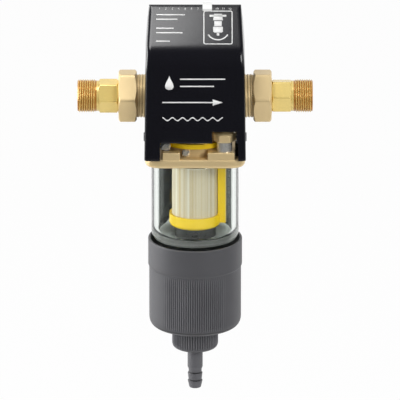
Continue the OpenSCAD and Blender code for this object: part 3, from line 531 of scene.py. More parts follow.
def vary(tree, shader, place, base, low, high, patch_mm, grit_mm, rough, spread, bump_mm):
    """Three scales of a real surface: slow change of tone between two tints of its colour, change of gloss,
    and fine grit in relief."""
    tone = add(tree, "ShaderNodeTexNoise", {"Vector": place, "Scale": per_mm(patch_mm), "Detail": 4.0})
    mix = add(tree, "ShaderNodeMix", {0: tone, 6: tint(base, low), 7: tint(base, high)}, data_type="RGBA")
    grit = add(tree, "ShaderNodeTexNoise", {"Vector": place, "Scale": per_mm(grit_mm), "Detail": 3.0})
    gloss = add(tree, "ShaderNodeMapRange", {"Value": grit, "From Min": 0.3, "From Max": 0.7,
                                             "To Min": rough - spread, "To Max": rough + spread})
    relief = add(tree, "ShaderNodeBump", {"Height": grit, "Strength": 0.35, "Distance": bump_mm * MM})
    feed(tree, shader, {"Base Color": mix, "Roughness": gloss, "Normal": relief})
    return mix, relief


def plain(name, base, *surface, **constants):
    """A finish with no more than the three scales of a real surface, given in the order of vary."""
    made, tree, shader, place = finish(name, base, **constants)
    vary(tree, shader, place, base, *surface)
    return made


def off_axis(tree, place):
    """How far a place lies to the right of the filter axis, behind it and above the pipe."""
    axes = add(tree, "ShaderNodeSeparateXYZ", {0: place})
    right = add(tree, "ShaderNodeMath", {0: axes.outputs["X"], 1: AXIS_X}, operation="SUBTRACT")
    return right, axes.outputs["Y"], axes.outputs["Z"]


def radial(tree, one, other):
    """Distance from an axis, worked out from two distances at right angles to it."""
    flat = add(tree, "ShaderNodeCombineXYZ", {0: one, 1: other})
    return add(tree, "ShaderNodeVectorMath", {0: flat}, operation="LENGTH")


def forged_brass(colours):
    """Hot forged brass, blasted: pale, matt, with soft tone changes and a fine grit."""
    return plain("forged_brass_blasted", colours.forged, 0.93, 1.05, 14, 0.4, 0.42, 0.05, 0.03, Metallic=0.45)


def turned_brass(colours):
    """Bar brass turned on a lathe: yellow and bright, with painted shade in brown on the thread, deepest in its
    roots.
    """
    made, tree, shader, place = finish("turned_brass_bright", colours.turned, Metallic=0.3)
    mix, _ = vary(tree, shader, place, colours.turned, 0.95, 1.04, 9, 0.5, 0.25, 0.03, 0.003)
    sizes = bpy.context.scene.filter_sizes
    run_in, crest_band, root_depth = 0.6 * MM, 0.1 * MM, 0.85 * MM
    thread_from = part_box("outlet_tail")[1].x - AXIS_X - sizes.pipe_length
    right, depth, height = off_axis(tree, place)
    far = add(tree, "ShaderNodeMath", {0: right}, operation="ABSOLUTE")
    on_thread = add(tree, "ShaderNodeMapRange", {"Value": far, "From Min": thread_from - run_in,
                                                 "From Max": thread_from})
    # Painted shade: the thread is mixed towards the root colour, 0.3 on the crests rising to 0.85 in the roots
    root = add(tree, "ShaderNodeMapRange", {"Value": radial(tree, depth, height),
                                            "From Min": sizes.pipe_radius - crest_band,
                                            "From Max": sizes.pipe_radius - root_depth,
                                            "To Min": 0.3, "To Max": 0.85})
    share = add(tree, "ShaderNodeMath", {0: root, 1: on_thread}, operation="MULTIPLY")
    painted_tone = add(tree, "ShaderNodeMix", {0: share, 6: mix, 7: (*colours.thread_root, 1.0)}, data_type="RGBA")
    feed(tree, shader, {"Base Color": painted_tone})
    return made


def hood_abs(colours):
    """Black ABS, moulded in a fine spark-eroded tool: near black, blue tinge, satin sheen."""
    return plain("black_abs_moulded", colours.hood, 0.9, 1.15, 22, 0.6, 0.18, 0.02, 0.004)


def grip_nylon(colours):
    """Grey glass-filled nylon, moulded: matt, slightly cloudy, with a fine grain, and with painted light: a
    painted highlight on the crests of the ribs and painted shade in their roots and inside the wheel."""
    made, tree, shader, place = finish("grey_nylon_moulded", colours.grip)
    mix, _ = vary(tree, shader, place, colours.grip, 0.93, 1.07, 16, 0.5, 0.5, 0.05, 0.02)
    # Painted light per point, from -1 to 1: painted shade in the rib roots and inside the wheel, painted highlight
    # on the crests
    painted_light = add(tree, "ShaderNodeAttribute", attribute_name="painted_light").outputs["Fac"]
    share = add(tree, "ShaderNodeMapRange", {"Value": painted_light, "From Min": -1.0, "From Max": 1.0,
                                             "To Min": 0.2, "To Max": 1.8})
    painted_tone = add(tree, "ShaderNodeMix", {0: 1.0, 6: mix, 7: share}, data_type="RGBA", blend_type="MULTIPLY")
    feed(tree, shader, {"Base Color": painted_tone})
    return made


def dark_acetal(colours):
    """Black acetal, moulded: dark, smooth, with a soft shine."""
    return plain("black_acetal_moulded", colours.dark, 0.85, 1.3, 8, 0.5, 0.32, 0.04, 0.01)


def yellow_acetal(colours):
    """Yellow acetal, moulded: warm, dense colour with a soft shine."""
    return plain("yellow_acetal_moulded", colours.yellow, 0.95, 1.04, 10, 0.6, 0.33, 0.04, 0.01)


def white_acetal(colours):
    """White acetal, moulded: clean, slightly warm white with a soft shine."""
    return plain("white_acetal_moulded", colours.white, 0.96, 1, 10, 0.6, 0.35, 0.04, 0.01)


def print_ink(colours):
    """White pad-printing ink: flat, dry, with thin spots where the black shows a little."""
    return plain("white_pad_print", colours.white, 0.9, 1.1, 1.2, 0.3, 0.55, 0.05, 0.005)


def clear_nylon(colours):
    """Transparent nylon, moulded and polished: water clear, with a faint ripple from the mould.

    The funnel floor isn't polished, so it is matt and hides the dark cup under it. The foot, which stands in the
    wheel, is tinted dark outside: painted shade of the gap between the foot and the wheel's rim.
    """
    constants = {"IOR": 1.52, "Transmission Weight": 1.0}
    made, tree, shader, place = finish("clear_nylon_moulded", colours.clear, **constants)
    sizes = bpy.context.scene.filter_sizes
    inner, floor = bowl_inside(sizes)
    skin, middle, polished, unpolished = MM, sizes.funnel_height / 2, 0.02, 0.65
    foot_top = WHEEL_HIGH.z + 2 * MM
    ripple = add(tree, "ShaderNodeTexNoise", {"Vector": place, "Scale": per_mm(9), "Detail": 1.0})
    relief = add(tree, "ShaderNodeBump", {"Height": ripple, "Strength": 0.08, "Distance": 0.2 * MM})
    right, depth, height = off_axis(tree, place)
    funnel = add(tree, "ShaderNodeMapRange", {"Value": height, "From Min": floor,
                                              "From Max": floor + sizes.funnel_height,
                                              "To Min": sizes.funnel_radius + skin, "To Max": inner + skin})
    within = add(tree, "ShaderNodeMath", {0: radial(tree, right, depth), 1: funnel}, operation="LESS_THAN")
    level = add(tree, "ShaderNodeMath", {0: height, 1: floor + middle, 2: middle + skin / 2},
                operation="COMPARE")
    both = add(tree, "ShaderNodeMath", {0: within, 1: level}, operation="MULTIPLY")
    matt = add(tree, "ShaderNodeMapRange", {"Value": both, "To Min": polished, "To Max": unpolished})
    # Painted shade: the outer skin of the foot takes the dark colour for the shaded gap inside the wheel's rim
    foot = add(tree, "ShaderNodeMath", {0: height, 1: foot_top}, operation="LESS_THAN")
    ring = add(tree, "ShaderNodeMath", {0: foot, 1: within}, operation="GREATER_THAN")
    tone = add(tree, "ShaderNodeMix", {0: ring, 6: (*colours.clear, 1.0), 7: (*colours.dark, 1.0)},
               data_type="RGBA")
    feed(tree, shader, {"Base Color": tone, "Roughness": matt, "Normal": relief})
    shadow = add(tree, "ShaderNodeLightPath").outputs["Is Shadow Ray"]
    thin = add(tree, "ShaderNodeBsdfTransparent", {"Color": (0.9, 0.92, 0.9, 1.0)})
    lit = add(tree, "ShaderNodeMixShader", {0: shadow, 1: shader, 2: thin})
    feed(tree, tree.nodes["Material Output"], {"Surface": lit})
    return made


def plated_steel(colours):
    """Zinc plated steel: bright cool metal with faint clouding."""
    return plain("zinc_plated_steel", colours.steel, 0.9, 1.05, 5, 0.4, 0.24, 0.06, 0.01, Metallic=0.7)


def woven_mesh(colours):
    """Fine woven steel mesh: a warm satin sheet with pale upright streaks, a painted sheen mixed towards white.
    The real wires lie 0.1 mm apart, too fine to show, so the weave is drawn ten times as coarse."""
    made, tree, shader, place = finish("woven_steel_mesh", colours.mesh, Metallic=0.15)
    mix, relief = vary(tree, shader, place, colours.mesh, 0.92, 1.04, 7, 0.5, 0.42, 0.04, 0.01)
    weave = per_mm(1.0) * 2 * math.pi
    weave_round = box_radius(*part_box("filter_mesh")) * weave
    right, depth, height = off_axis(tree, place)
    turn = add(tree, "ShaderNodeMath", {0: depth, 1: right}, operation="ARCTAN2")
    waves = []
    for way, scale in ((turn, weave_round), (height, weave)):
        phase = add(tree, "ShaderNodeMath", {0: way, 1: scale}, operation="MULTIPLY")
        waves.append(add(tree, "ShaderNodeMath", {0: phase}, operation="SINE"))
    over_under = add(tree, "ShaderNodeMath", {0: waves[0], 1: waves[1]}, operation="MULTIPLY")
    wires = add(tree, "ShaderNodeBump", {"Height": over_under, "Strength": 0.25, "Distance": 0.05 * MM,
                                         "Normal": relief})
    # Painted sheen: upright streaks of noise round the sleeve mix the colour towards white
    streaks = add(tree, "ShaderNodeTexNoise", {"W": turn, "Scale": 5.0, "Detail": 3.0}, noise_dimensions="1D")
    bright = add(tree, "ShaderNodeMapRange", {"Value": streaks, "From Min": 0.35, "From Max": 0.7,
                                              "To Max": 0.6})
    drawn = add(tree, "ShaderNodeMix", {0: bright, 6: mix, 7: (*colours.white, 1.0)}, data_type="RGBA")
    feed(tree, shader, {"Base Color": drawn, "Normal": wires})
    return made


def seal_rubber(colours):
    """Nitrile rubber, moulded: black, dull, with a dusty bloom."""
    return plain("nitrile_rubber_moulded", colours.rubber, 0.8, 1.6, 4, 0.4, 0.62, 0.06, 0.02)


FINISHES = {
    "forged_brass": forged_brass,
    "turned_brass": turned_brass,
    "black_plastic": hood_abs,
    "grey_plastic": grip_nylon,
    "dark_plastic": dark_acetal,
    "yellow_plastic": yellow_acetal,
    "white_plastic": white_acetal,
    "clear_plastic": clear_nylon,
    "steel": plated_steel,
    "mesh_steel": woven_mesh,
    "seal_rubber": seal_rubber,
    "print": print_ink,
}
MADE = {}


def material(slot):
    """The finish of a material slot, made once."""
    if slot not in MADE:
        MADE[slot] = FINISHES[slot](bpy.context.scene.filter_colours)
    return MADE[slot]


class FILTER_OT_solids(Operator):
    """Give every solid of the frame the finish of its material slot"""

    bl_idname = "filter.solids"
    bl_label = "Finish the solids"

    def execute(self, context):
        for subpart in frame["record"]["subparts"]:
            slots = frame["nodes"][subpart["node"]].material_slots
            if not slots:
                raise RuntimeError(f"{subpart['node']} has no material slot")
            slots[0].material = material(subpart["material_slot"])
        return {"FINISHED"}


class FILTER_OT_hood(Operator):
    """Build the moulded hood with its release buttons and screw bosses"""

    bl_idname = "filter.hood"
    bl_label = "Hood"

    def execute(self, context):
        sizes = context.scene.filter_sizes
        shell = piece("hood_shell", [hood_patch(sizes)], "body", "black_plastic", ["hood"], closed=False)
        modify(shell, "SOLIDIFY", thickness=sizes.hood_wall, offset=-1, use_even_offset=True)
        modify(shell, "BEVEL", width=0.35 * MM, segments=2, limit_method="ANGLE",
               angle_limit=math.radians(50))
        self.buttons(sizes)
        self.bosses(sizes)
        return {"FINISHED"}

    def buttons(self, sizes):
        """Round release buttons on both sides: turned discs with an eased rim."""
        y, z = HOOD_LOW.y / 3, plate_top(sizes) + sizes.boss_height
        wall = float(hood_half_width(sizes, z))
        sunk, rim, proud = -sizes.hood_wall / 2, sizes.button_radius, sizes.button_proud
        disc = [(0, sunk), (rim, sunk), (rim, proud), (0, proud)]
        points, quads = turned_patch(disc, np.array([0, 0, 0.4, 0]) * MM, around(32), "X")
        pair = [(points * (side, 1, 1) + (AXIS_X + side * wall, y, z), quads) for side in (-1, 1)]
        piece("hood_buttons", pair, "body", "black_plastic")

    def bosses(self, sizes):
        """Four screw bosses inside the hood: turned posts that taper a little to the top."""
        low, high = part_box("hood_screws")
        screw, taper = 2.4 * MM, 0.94
        foot, top = plate_top(sizes), plate_top(sizes) + sizes.boss_height
        post = [(0, foot), (sizes.boss_radius, foot), (sizes.boss_radius * taper, top), (0, top)]
        cuts = np.array([0, 0, 0.5, 0]) * MM
        posts = [turned_patch(post, cuts, around(28), centre=(x, y, 0.0))
                 for x in (low.x + screw, high.x - screw) for y in (low.y + screw, high.y - screw)]
        piece("hood_bosses", posts, "body", "black_plastic")


class FILTER_OT_marks(Operator):
    """Print plain marks on the hood: month numbers, a pictogram, rules, a drop, a wave and a flow arrow"""

    bl_idname = "filter.marks"
    bl_label = "Printed marks"

    # Plain rules: left end, right end and distance from the top, in millimetres
    ROOF_RULES = ((-31, -8, 6.5), (-31, -14, 10.5), (-31, -17, 18.5), (-31, -10, 22.5), (-31, -20, 30))
    FRONT_RULES = ((-12, 24, 8), (-12, 15, 14))
    # Sketch of the filter: half widths and distances from the frame, in millimetres, from pipe to barb
    SKETCH = (((6.6, 2.6), (6.6, 4.4)), ((3.2, 1.8), (3.9, 7.6)), ((3.0, 8.2), (3.0, 12.8)),
              ((3.9, 13.3), (3.9, 17.6), (3.0, 18.6)), ((1.0, 19.0), (1.0, 21.2)))

    def execute(self, context):
        sizes = context.scene.filter_sizes
        line = roof_lines(sizes)
        slope, ink_lift = sizes.roof_slope, 0.03 * MM
        across = np.array([1.0, 0.0, 0.0])
        down = np.array([0.0, -math.cos(slope), -math.sin(slope)])
        normal = np.array([0.0, -math.sin(slope), math.cos(slope)])
        roof_top = np.array([AXIS_X, line["roof_y"], line["roof_z"]]) + ink_lift * normal
        front_top = np.array([AXIS_X, HOOD_LOW.y - ink_lift, line["bend_z"]])

        def on_roof(flat):
            """Flat points (across, down the roof) laid just above the roof."""
            return roof_top + flat[..., :1] * across + flat[..., 1:] * down

        def on_front(flat):
            """Flat points (across, down the front) laid just above the front."""
            return front_top + flat[..., :1] * across + flat[..., 1:] * np.array([0.0, 0.0, -1.0])

        self.ink("turn_pictogram", [patch(on_roof(g), False, loop) for g, loop in self.pictogram()])
        self.ink("roof_rules", [patch(on_roof(g), False, False) for g in self.rules(self.ROOF_RULES)])
        self.ink("front_marks", [patch(on_front(g), False, False) for g in self.front_marks()])
        self.ink("month_numbers", self.numbers(on_roof))
        return {"FINISHED"}

    def ink(self, name, patches):
        """A thin film of ink with a little thickness."""
        film = piece(name, patches, "body", "white_plastic", coat="print", closed=False)
        modify(film, "SOLIDIFY", thickness=0.05 * MM, offset=1)

    def pictogram(self):
        """Framed sketch of a filter with a turning arrow: a ring between two eased rectangles, a ladder of
        half widths mirrored about the middle, and a sector of a ring with two arrow heads."""
        centre, top, half, tall, stroke = 18.2 * MM, 3.4 * MM, 11.6 * MM, 30.0 * MM, 0.75 * MM
        unit = np.array([[-1, 0], [1, 0], [1, 1], [-1, 1]])
        box = unit * (half, tall) + (centre, top)
        inner = unit * (half - stroke, tall - 2 * stroke) + (centre, top + stroke)
        outer_ease, inner_ease = 1.8 * MM, 1.2 * MM
        shapes = [(np.stack([ease(box, outer_ease), ease(inner, inner_ease)]), True)]
        for steps in map(np.array, self.SKETCH):
            sides = np.stack([steps * (-1, 1), steps * (1, 1)], 1)
            shapes.append((sides * MM + (centre, top + MM), False))
        sweep = np.linspace(math.radians(28), math.radians(152), 25)
        radii = np.array([8.2, 9.2]) * MM
        arrow = np.stack([radii[:, None] * np.cos(sweep), radii[:, None] * np.sin(sweep)], -1)
        pivot = np.array([centre, top + 17.2 * MM])
        shapes.append((arrow + pivot, False))
        for end in (-1, 1):
            tip = np.array([[end * 8.9, 1.9], [end * 6.2, 4.2], [end * 9.7, 5.4], [end * 8.9, 1.9]]) * MM
            shapes.append((tip.reshape(2, 2, 2) + pivot, False))
        return shapes

    def rules(self, places):
        """Plain bars of one stroke, as flat rectangles."""
        stroke = 1.0
        return [np.array([[[x0, y], [x1, y]], [[x0, y + stroke], [x1, y + stroke]]]) * MM
                for x0, x1, y in places]

    def front_marks(self):
        """Water drop beside two rules, an arrow along the flow and a wave under it. The drop has the half
        width w sin t sin^2(t/2) at the height -h cos t, and the wave is a band about a sine."""
        drop_width, drop_height, drop_x, drop_y = 5.2, 6, -20.5, 11.5
        left, neck, right, arrow_y = -26, 14, 22, 28
        wave_y, wave_height, wave_length, half_stroke = 42, 1.3, 8, 0.45
        t = np.linspace(0.02, np.pi - 0.02, 24)
        half = drop_width * np.sin(t) * np.sin(t / 2) ** 2
        side = np.column_stack([half, drop_y - drop_height * np.cos(t)])
        drop = np.stack([side * (-1, 1), side], 1) * MM + (drop_x * MM, 0)
        bar = np.array([[[left, -0.5], [neck, -0.5]], [[left, 0.5], [neck, 0.5]]]) * MM + (0, arrow_y * MM)
        head = np.array([[[neck, -2.6], [right, 0]], [[neck, 2.6], [right, 0]]]) * MM + (0, arrow_y * MM)
        x = np.linspace(left, right, 73)
        crest = wave_y + wave_height * np.sin(2 * np.pi * x / wave_length)
        wave = np.stack([np.column_stack([x, crest + edge]) for edge in (-half_stroke, half_stroke)]) * MM
        return [drop, bar, head, wave] + self.rules(self.FRONT_RULES)

    def numbers(self, on_roof):
        """Month numbers along the ridge, one under each stop of the slider, as filled outlines."""
        slide = next(j for j in frame["joints"] if j["name"] == "month_slide")
        first, last = slide["range_m"]
        rest = (SLIDER_LOW.x + SLIDER_HIGH.x) / 2 - AXIS_X
        stops = np.linspace(rest + first, rest + last, MONTHS)
        height = 2.4 * MM
        patches = []
        for month, stop in enumerate(stops, 1):
            text = bpy.data.curves.new("month", "FONT")
            text.body = str(month)
            text.size = height
            text.align_x = "CENTER"
            sketch = bpy.data.objects.new("month", text)
            mesh = bpy.data.meshes.new_from_object(sketch)
            mesh.calc_loop_triangles()
            flat = np.zeros(len(mesh.vertices) * 3)
            mesh.vertices.foreach_get("co", flat)
            faces = np.zeros(len(mesh.loop_triangles) * 3, int)
            mesh.loop_triangles.foreach_get("vertices", faces)
            flat = flat.reshape(-1, 3)[:, :2] * (1, -1) + (stop, height)
            patches.append((on_roof(flat), faces.reshape(-1, 3)[:, ::-1]))
            bpy.data.objects.remove(sketch)
            bpy.data.curves.remove(text)
            bpy.data.meshes.remove(mesh)
        return patches


class FILTER_OT_unions(Operator):
    """Build the threaded pipe tails, the union nuts and the threads on the ports"""

    bl_idname = "filter.unions"
    bl_label = "Pipe unions"

    def execute(self, context):
        sizes = context.scene.filter_sizes
        nut_turn = math.radians(23)
        for name, side, tail_turn in (("inlet", -1, math.radians(33)), ("outlet", 1, math.radians(20))):
            tail = self.mirrored(self.tail(sizes, name, tail_turn), side)
            nut = self.mirrored(self.nut(name, nut_turn), side)
            ridge = self.mirrored(self.port_thread(sizes, name), side)
            piece(f"{name}_tail_threaded", [tail], "body", "turned_brass", [f"{name}_tail"], sharp=65)
            piece(f"{name}_nut_forged", [nut], f"{name}_nut", "forged_brass", [f"{name}_nut"], sharp=50)
            piece(f"{name}_port_thread", [ridge], "body", "forged_brass", sharp=60)
        return {"FINISHED"}

    def mirrored(self, grid, side):
        """A grid built to the right of the axis, put on its side of the filter."""
        points, quads = patch(grid)
        return points * (side, 1, 1) + on_axis(), quads

    def reach(self, node):
        """Nearest and farthest place of a node from the filter axis, along the pipe."""
        return sorted(abs(corner.x - AXIS_X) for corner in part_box(node))

    def tail(self, sizes, name, turn):
        """Tail along the pipe axis: flange, neck, hexagon with bevelled ends, collar, screw thread and bore.
        The radius is a function of place and angle, and each change of form is a step in the rows."""
        start, end = self.reach(f"{name}_tail")
        bore, flange, neck, relief, collar = 9.5 * MM, 15.25 * MM, 13.8 * MM, 11.9 * MM, 12.2 * MM
        flange_end, collar_length = start + 4 * MM, 2 * MM
        hex_flats, hex_gap, bevel_length, bevel_rise = 24 * MM, 0.3 * MM, 1.2 * MM, 1.75
        chamfer, bore_chamfer = 1.3 * MM, 0.8 * MM
        hex_from = self.reach(f"{name}_nut")[1] + hex_gap
        thread_from = end - sizes.pipe_length
        hex_to = thread_from - collar_length
        angles = around(144, turn)
        hex_radius = hexagon(angles - turn, hex_flats, roundness=60)
        steps = np.linspace(0, bevel_length, 7)
        hex_x = np.concatenate([hex_from + steps, hex_to - steps[::-1]])
        bevel = relief + bevel_rise * np.minimum(hex_x - hex_from, hex_to - hex_x)
        thread_x = np.arange(thread_from, end, sizes.pipe_pitch / 10)
        height = thread(thread_x, angles, sizes.pipe_pitch)
        run_out = ramp(thread_x, thread_from, thread_from + sizes.pipe_pitch)[:, None]
        cut = sizes.pipe_depth * ((1 - height) * run_out + (1 - run_out))
        end_cut = np.maximum(thread_x - (end - chamfer), 0)[:, None]
        x = np.concatenate([[start, start, flange_end, flange_end, hex_from, hex_from], hex_x,
                            [hex_to, thread_from], thread_x, [end, end, end - MM]])
        radius = np.concatenate([
            rings([bore, flange, flange, neck, neck, relief], angles),
            np.minimum(bevel[:, None], hex_radius[None, :]),
            rings([collar, collar], angles),
            sizes.pipe_radius - np.maximum(cut, end_cut),
            rings([sizes.pipe_radius - chamfer, bore + bore_chamfer, bore], angles)])
        return spin(radius, x, angles, "X")

    def nut(self, name, turn):
        """Union nut: eased hexagon cut by a cone at each end, with the port's bore and the tail's hole."""
        near, far = self.reach(f"{name}_nut")
        flats, bevel, cone_length, lip = 38.52 * MM, 1.6 * MM, 3.2 * MM, 4.8 * MM
        thread_bore, thread_chamfer, tail_hole, hole_chamfer = 16.78 * MM, 1.2 * MM, 14.16 * MM, 0.6 * MM
        corner = flats / math.sqrt(3)
        angles = around(192, turn)
        hex_radius = hexagon(angles - turn, flats, roundness=46)
        steps = np.linspace(0, cone_length, 15)
        hex_x = np.concatenate([near + steps, far - steps[::-1]])
        cone = corner - 2 * bevel + 2 * np.minimum(hex_x - near, far - hex_x)
        x = np.concatenate([[near + MM, near], hex_x, [far, far - hole_chamfer, far - lip, far - lip]])
        radius = np.concatenate([
            rings([thread_bore, thread_bore + thread_chamfer], angles),
            np.minimum(cone[:, None], hex_radius[None, :]),
            rings([tail_hole + hole_chamfer, tail_hole, tail_hole, thread_bore], angles)])
        return spin(radius, x, angles, "X")

    def port_thread(self, sizes, name):
        """Free length of the port's screw thread between hood and nut, laid on the port's cylinder."""
        near = self.reach(f"{name}_nut")[0]
        port, proud, sunk = 16.7 * MM, 0.05 * MM, 0.3 * MM
        free_length, nut_gap = 12 * MM, 0.25 * MM
        angles = around(120)
        x = np.arange(near - free_length, near - nut_gap, sizes.union_pitch / 12)
        crest = port + proud + sizes.union_depth * thread(x, angles, sizes.union_pitch)
        radius = np.concatenate([crest, rings([port - sunk, port - sunk], angles)])
        return spin(radius, np.concatenate([x, [x[-1], x[0]]]), angles, "X")


class FILTER_OT_plate(Operator):
    """Build the forged clamp plate with its neck and lugs"""

    bl_idname = "filter.plate"
    bl_label = "Clamp plate"

    # The two lugs: left end, right end and back, in millimetres from the filter axis
    LUGS = ((-26.0, -12.0, -29.7), (10.0, 31.4, -19.9))

    def execute(self, context):
        sizes = context.scene.filter_sizes
        piece("clamp_plate", [self.plate(sizes)], "body", "forged_brass", ["filter_head"], sharp=40)
        lugs = piece("plate_lugs", self.lugs(sizes), "body", "forged_brass", sharp=40)
        modify(lugs, "BEVEL", width=0.7 * MM, segments=3)
        return {"FINISHED"}

    def plate(self, sizes):
        """Loft of level rows: circles for the bores and the neck, and between them the plate's outline, a
        superellipse drawn in by an inset that rounds its edges."""
        half_x, half_y, power = (PLATE_HIGH.x - PLATE_LOW.x) / 2, PLATE_HIGH.y, 7.6
        low, top, neck_top = PLATE_LOW.z, plate_top(sizes), PLATE_HIGH.z
        seat, under, over = low + 5 * MM, 3.0 * MM, 1.2 * MM
        neck, neck_foot, neck_edge = sizes.neck_radius, 1.2 * MM, 0.6 * MM
        angles = around(192)
        outline = (np.abs(np.cos(angles)) / half_x) ** power + (np.abs(np.sin(angles)) / half_y) ** power
        outline = outline ** (-1 / power)
        rim = np.linspace(0, np.pi / 2, 7)
        inset = np.concatenate([under * (1 - np.sin(rim)), over * (1 - np.cos(rim))])
        z = np.concatenate([
            [neck_top, seat, seat, low], low + under * (1 - np.cos(rim)), top - over * (1 - np.sin(rim)),
            [top, top + neck_foot, neck_top - neck_edge, neck_top, neck_top]])
        radius = np.concatenate([
            rings([sizes.plate_bore, sizes.plate_bore, sizes.plate_recess, sizes.plate_recess], angles),
            outline[None, :] - inset[:, None],
            rings([neck + neck_foot, neck, neck, neck - neck_edge, sizes.plate_bore], angles)])
        return patch(spin(radius, z, angles, centre=on_axis()))

    def lugs(self, sizes):
        """Two blocks on the plate's front, with the vent screw in the right one: upright rectangles."""
        sunk, front = 0.6 * MM, PLATE_LOW.y + 0.2 * MM
        z = np.repeat([plate_top(sizes) - sunk, plate_top(sizes) + sizes.lug_height], 4)
        caps = np.array([[3, 2, 1, 0], [4, 5, 6, 7]])
        made = []
        for left, right, back in np.array(self.LUGS) * MM:
            x = np.tile([left, right, right, left], 2) + AXIS_X
            y = np.tile([front, front, back, back], 2)
            points, quads = patch(np.stack([x, y, z], -1).reshape(2, 4, 3), False, True)
            made.append((points, np.concatenate([quads, caps])))
        return made


class FILTER_OT_vent(Operator):
    """Build the vent screw with its bevelled hexagon"""

    bl_idname = "filter.vent"
    bl_label = "Vent screw"

    def execute(self, context):
        """Screw about its own upright axis: shank, hexagon cut by a cone at both ends, and a nub on top."""
        centre = (VENT_LOW + VENT_HIGH) / 2
        corner, tip = box_radius(VENT_LOW, VENT_HIGH), VENT_HIGH.z
        shank, nub, nub_height, nub_edge = 3 * MM, 1.7 * MM, 1.8 * MM, 0.4 * MM
        head_height, cone_length = 8.7 * MM, 2.2 * MM
        low_cut, low_rise, top_cut, top_rise = 0.9 * MM, 1.8, 2.2 * MM, 1.5
        top, bottom = tip - nub_height, tip - head_height
        angles = around(96)
        hex_radius = hexagon(angles - np.pi / 6, corner * math.sqrt(3), roundness=40)
        up = np.linspace(0, cone_length, 9)
        hex_z = np.concatenate([bottom + up, top - up[::-1]])
        cone = np.minimum(corner - low_cut + low_rise * (hex_z - bottom),
                          corner - top_cut + top_rise * (top - hex_z))
        z = np.concatenate([[VENT_LOW.z, VENT_LOW.z, bottom], hex_z,
                            [top, top + nub_edge, tip - nub_edge, tip, tip]])
        radius = np.concatenate([
            rings([0, shank, shank], angles),
            np.minimum(cone[:, None], hex_radius[None, :]),
            rings([nub + nub_edge, nub, nub, nub - nub_edge, 0], angles)])
        screw = patch(spin(radius, z, angles, centre=(centre.x, centre.y, 0.0)), False)
        piece("vent_screw_hexagon", [screw], "vent_screw", "forged_brass", ["vent_screw"], sharp=50)
        return {"FINISHED"}


class FILTER_OT_bowl(Operator):
    """Build the clear bowl with its funnel floor and gland"""

    bl_idname = "filter.bowl"
    bl_label = "Clear bowl"

    def execute(self, context):
        """Turned profile: collar, wall, taper, gland with its bore, and funnel floor."""
        sizes = context.scene.filter_sizes
        outer = box_radius(BOWL_LOW, BOWL_HIGH)
        inner, floor = bowl_inside(sizes)
        collar = outer - 2 * MM
        top, shoulder = BOWL_HIGH.z, PLATE_LOW.z
        taper = shoulder - sizes.bowl_straight
        foot = taper - sizes.bowl_taper
        bottom = BOWL_LOW.z + sizes.gland_length
        profile = [
            (inner, top), (collar, top), (collar, shoulder), (outer, shoulder), (outer, taper),
            (outer - sizes.bowl_draw_in, foot), (sizes.gland_radius, bottom),
            (sizes.gland_radius, BOWL_LOW.z), (sizes.gland_bore, BOWL_LOW.z), (sizes.gland_bore, floor),
            (sizes.funnel_radius, floor), (inner, floor + sizes.funnel_height)]
        cuts = np.array([0.5, 0.5, 0.3, 0.6, 3.5, 2.0, 1.5, 0.6, 0.4, 0.4, 1.5, 4.0]) * MM
        wall = turned_patch(profile[::-1], cuts[::-1], around(192), centre=on_axis(), longest=2 * MM)
        piece("clear_bowl", [wall], "body", "clear_plastic", ["bowl"], sharp=50)
        return {"FINISHED"}


class FILTER_OT_handwheel(Operator):
    """Build the ribbed handwheel"""

    bl_idname = "filter.handwheel"
    bl_label = "Handwheel"

    def execute(self, context):
        """Turned cup whose columns lie close together in the grip panels and wide apart between them."""
        sizes = context.scene.filter_sizes
        rim, bottom = WHEEL_HIGH.z, WHEEL_LOW.z
        outer = box_radius(WHEEL_LOW, WHEEL_HIGH)
        grip, inner = outer - sizes.grip_draft, outer - sizes.wheel_wall
        band, cup = rim - sizes.band_height, grip - sizes.wheel_wall
        under_band, over_band, lip = 0.4 * MM, 0.5 * MM, 3 * MM
        hub, hole, floor, hub_top = 16 * MM, 10.6 * MM, bottom + 3 * MM, bottom + 27.9 * MM
        profile = [
            (hole, bottom), (grip, bottom), (grip, band - under_band), (outer, band + over_band),
            (outer, rim), (inner, rim), (inner, rim - lip), (cup, band), (cup, floor), (hub, floor),
            (hub, hub_top), (hole, hub_top)]
        cuts = np.array([0.5, 8.2, 0.4, 0.4, 0.9, 0.4, 1.0, 1.0, 5.0, 1.0, 0.6, 0.4]) * MM
        radius, z = finer(ease(profile, cuts, 9), 4 * MM).T

        lane = (np.arange(sizes.panel_grooves) - (sizes.panel_grooves - 1) / 2) * sizes.groove_step
        middles = around(sizes.panels, -np.pi / 2)
        reach = lane[-1] + sizes.groove_step
        in_panels = (middles[:, None] + np.arange(-reach, reach, sizes.groove_step / GROOVE_COLUMNS)).ravel()
        between = around(180)
        between = between[to_nearest(between, middles) > reach]
        columns = np.unique(np.concatenate([in_panels, between]) % (2 * np.pi))
        full_share = 0.75
        fade = 1 - ramp(to_nearest(columns, middles), full_share * lane[-1], reach)
        groove = ribs(columns, (middles[:, None] + lane[None, :]).ravel(), sizes.groove_step * 0.5)

        run_out, run_in, band_gap, skin, crest_highlight = 1.5 * MM, 0.6 * MM, 2 * MM, 0.1 * MM, 1.3
        low, high = bottom + sizes.wheel_round - run_out, band - band_gap
        outside = radius > cup + sizes.wheel_wall / 4
        zone = ramp(z, low, low + run_out) * (1 - ramp(z, high - run_in, high)) * outside
        share = zone[:, None] * fade[None, :]
        # Painted shade inside the cup
        inside = (radius < inner + skin) & (z > floor - skin)
        grid = spin(radius[:, None] - sizes.groove_depth * share * groove, z, columns, centre=on_axis())
        # Painted light: painted highlight on the lands of the grip panels, painted shade in the groove roots and
        # inside the cup
        piece("ribbed_handwheel", [patch(grid)], "handwheel", "grey_plastic", ["handwheel"], sharp=40,
              painted_light=share * (crest_highlight - 2 * groove) - inside[:, None])
        return {"FINISHED"}


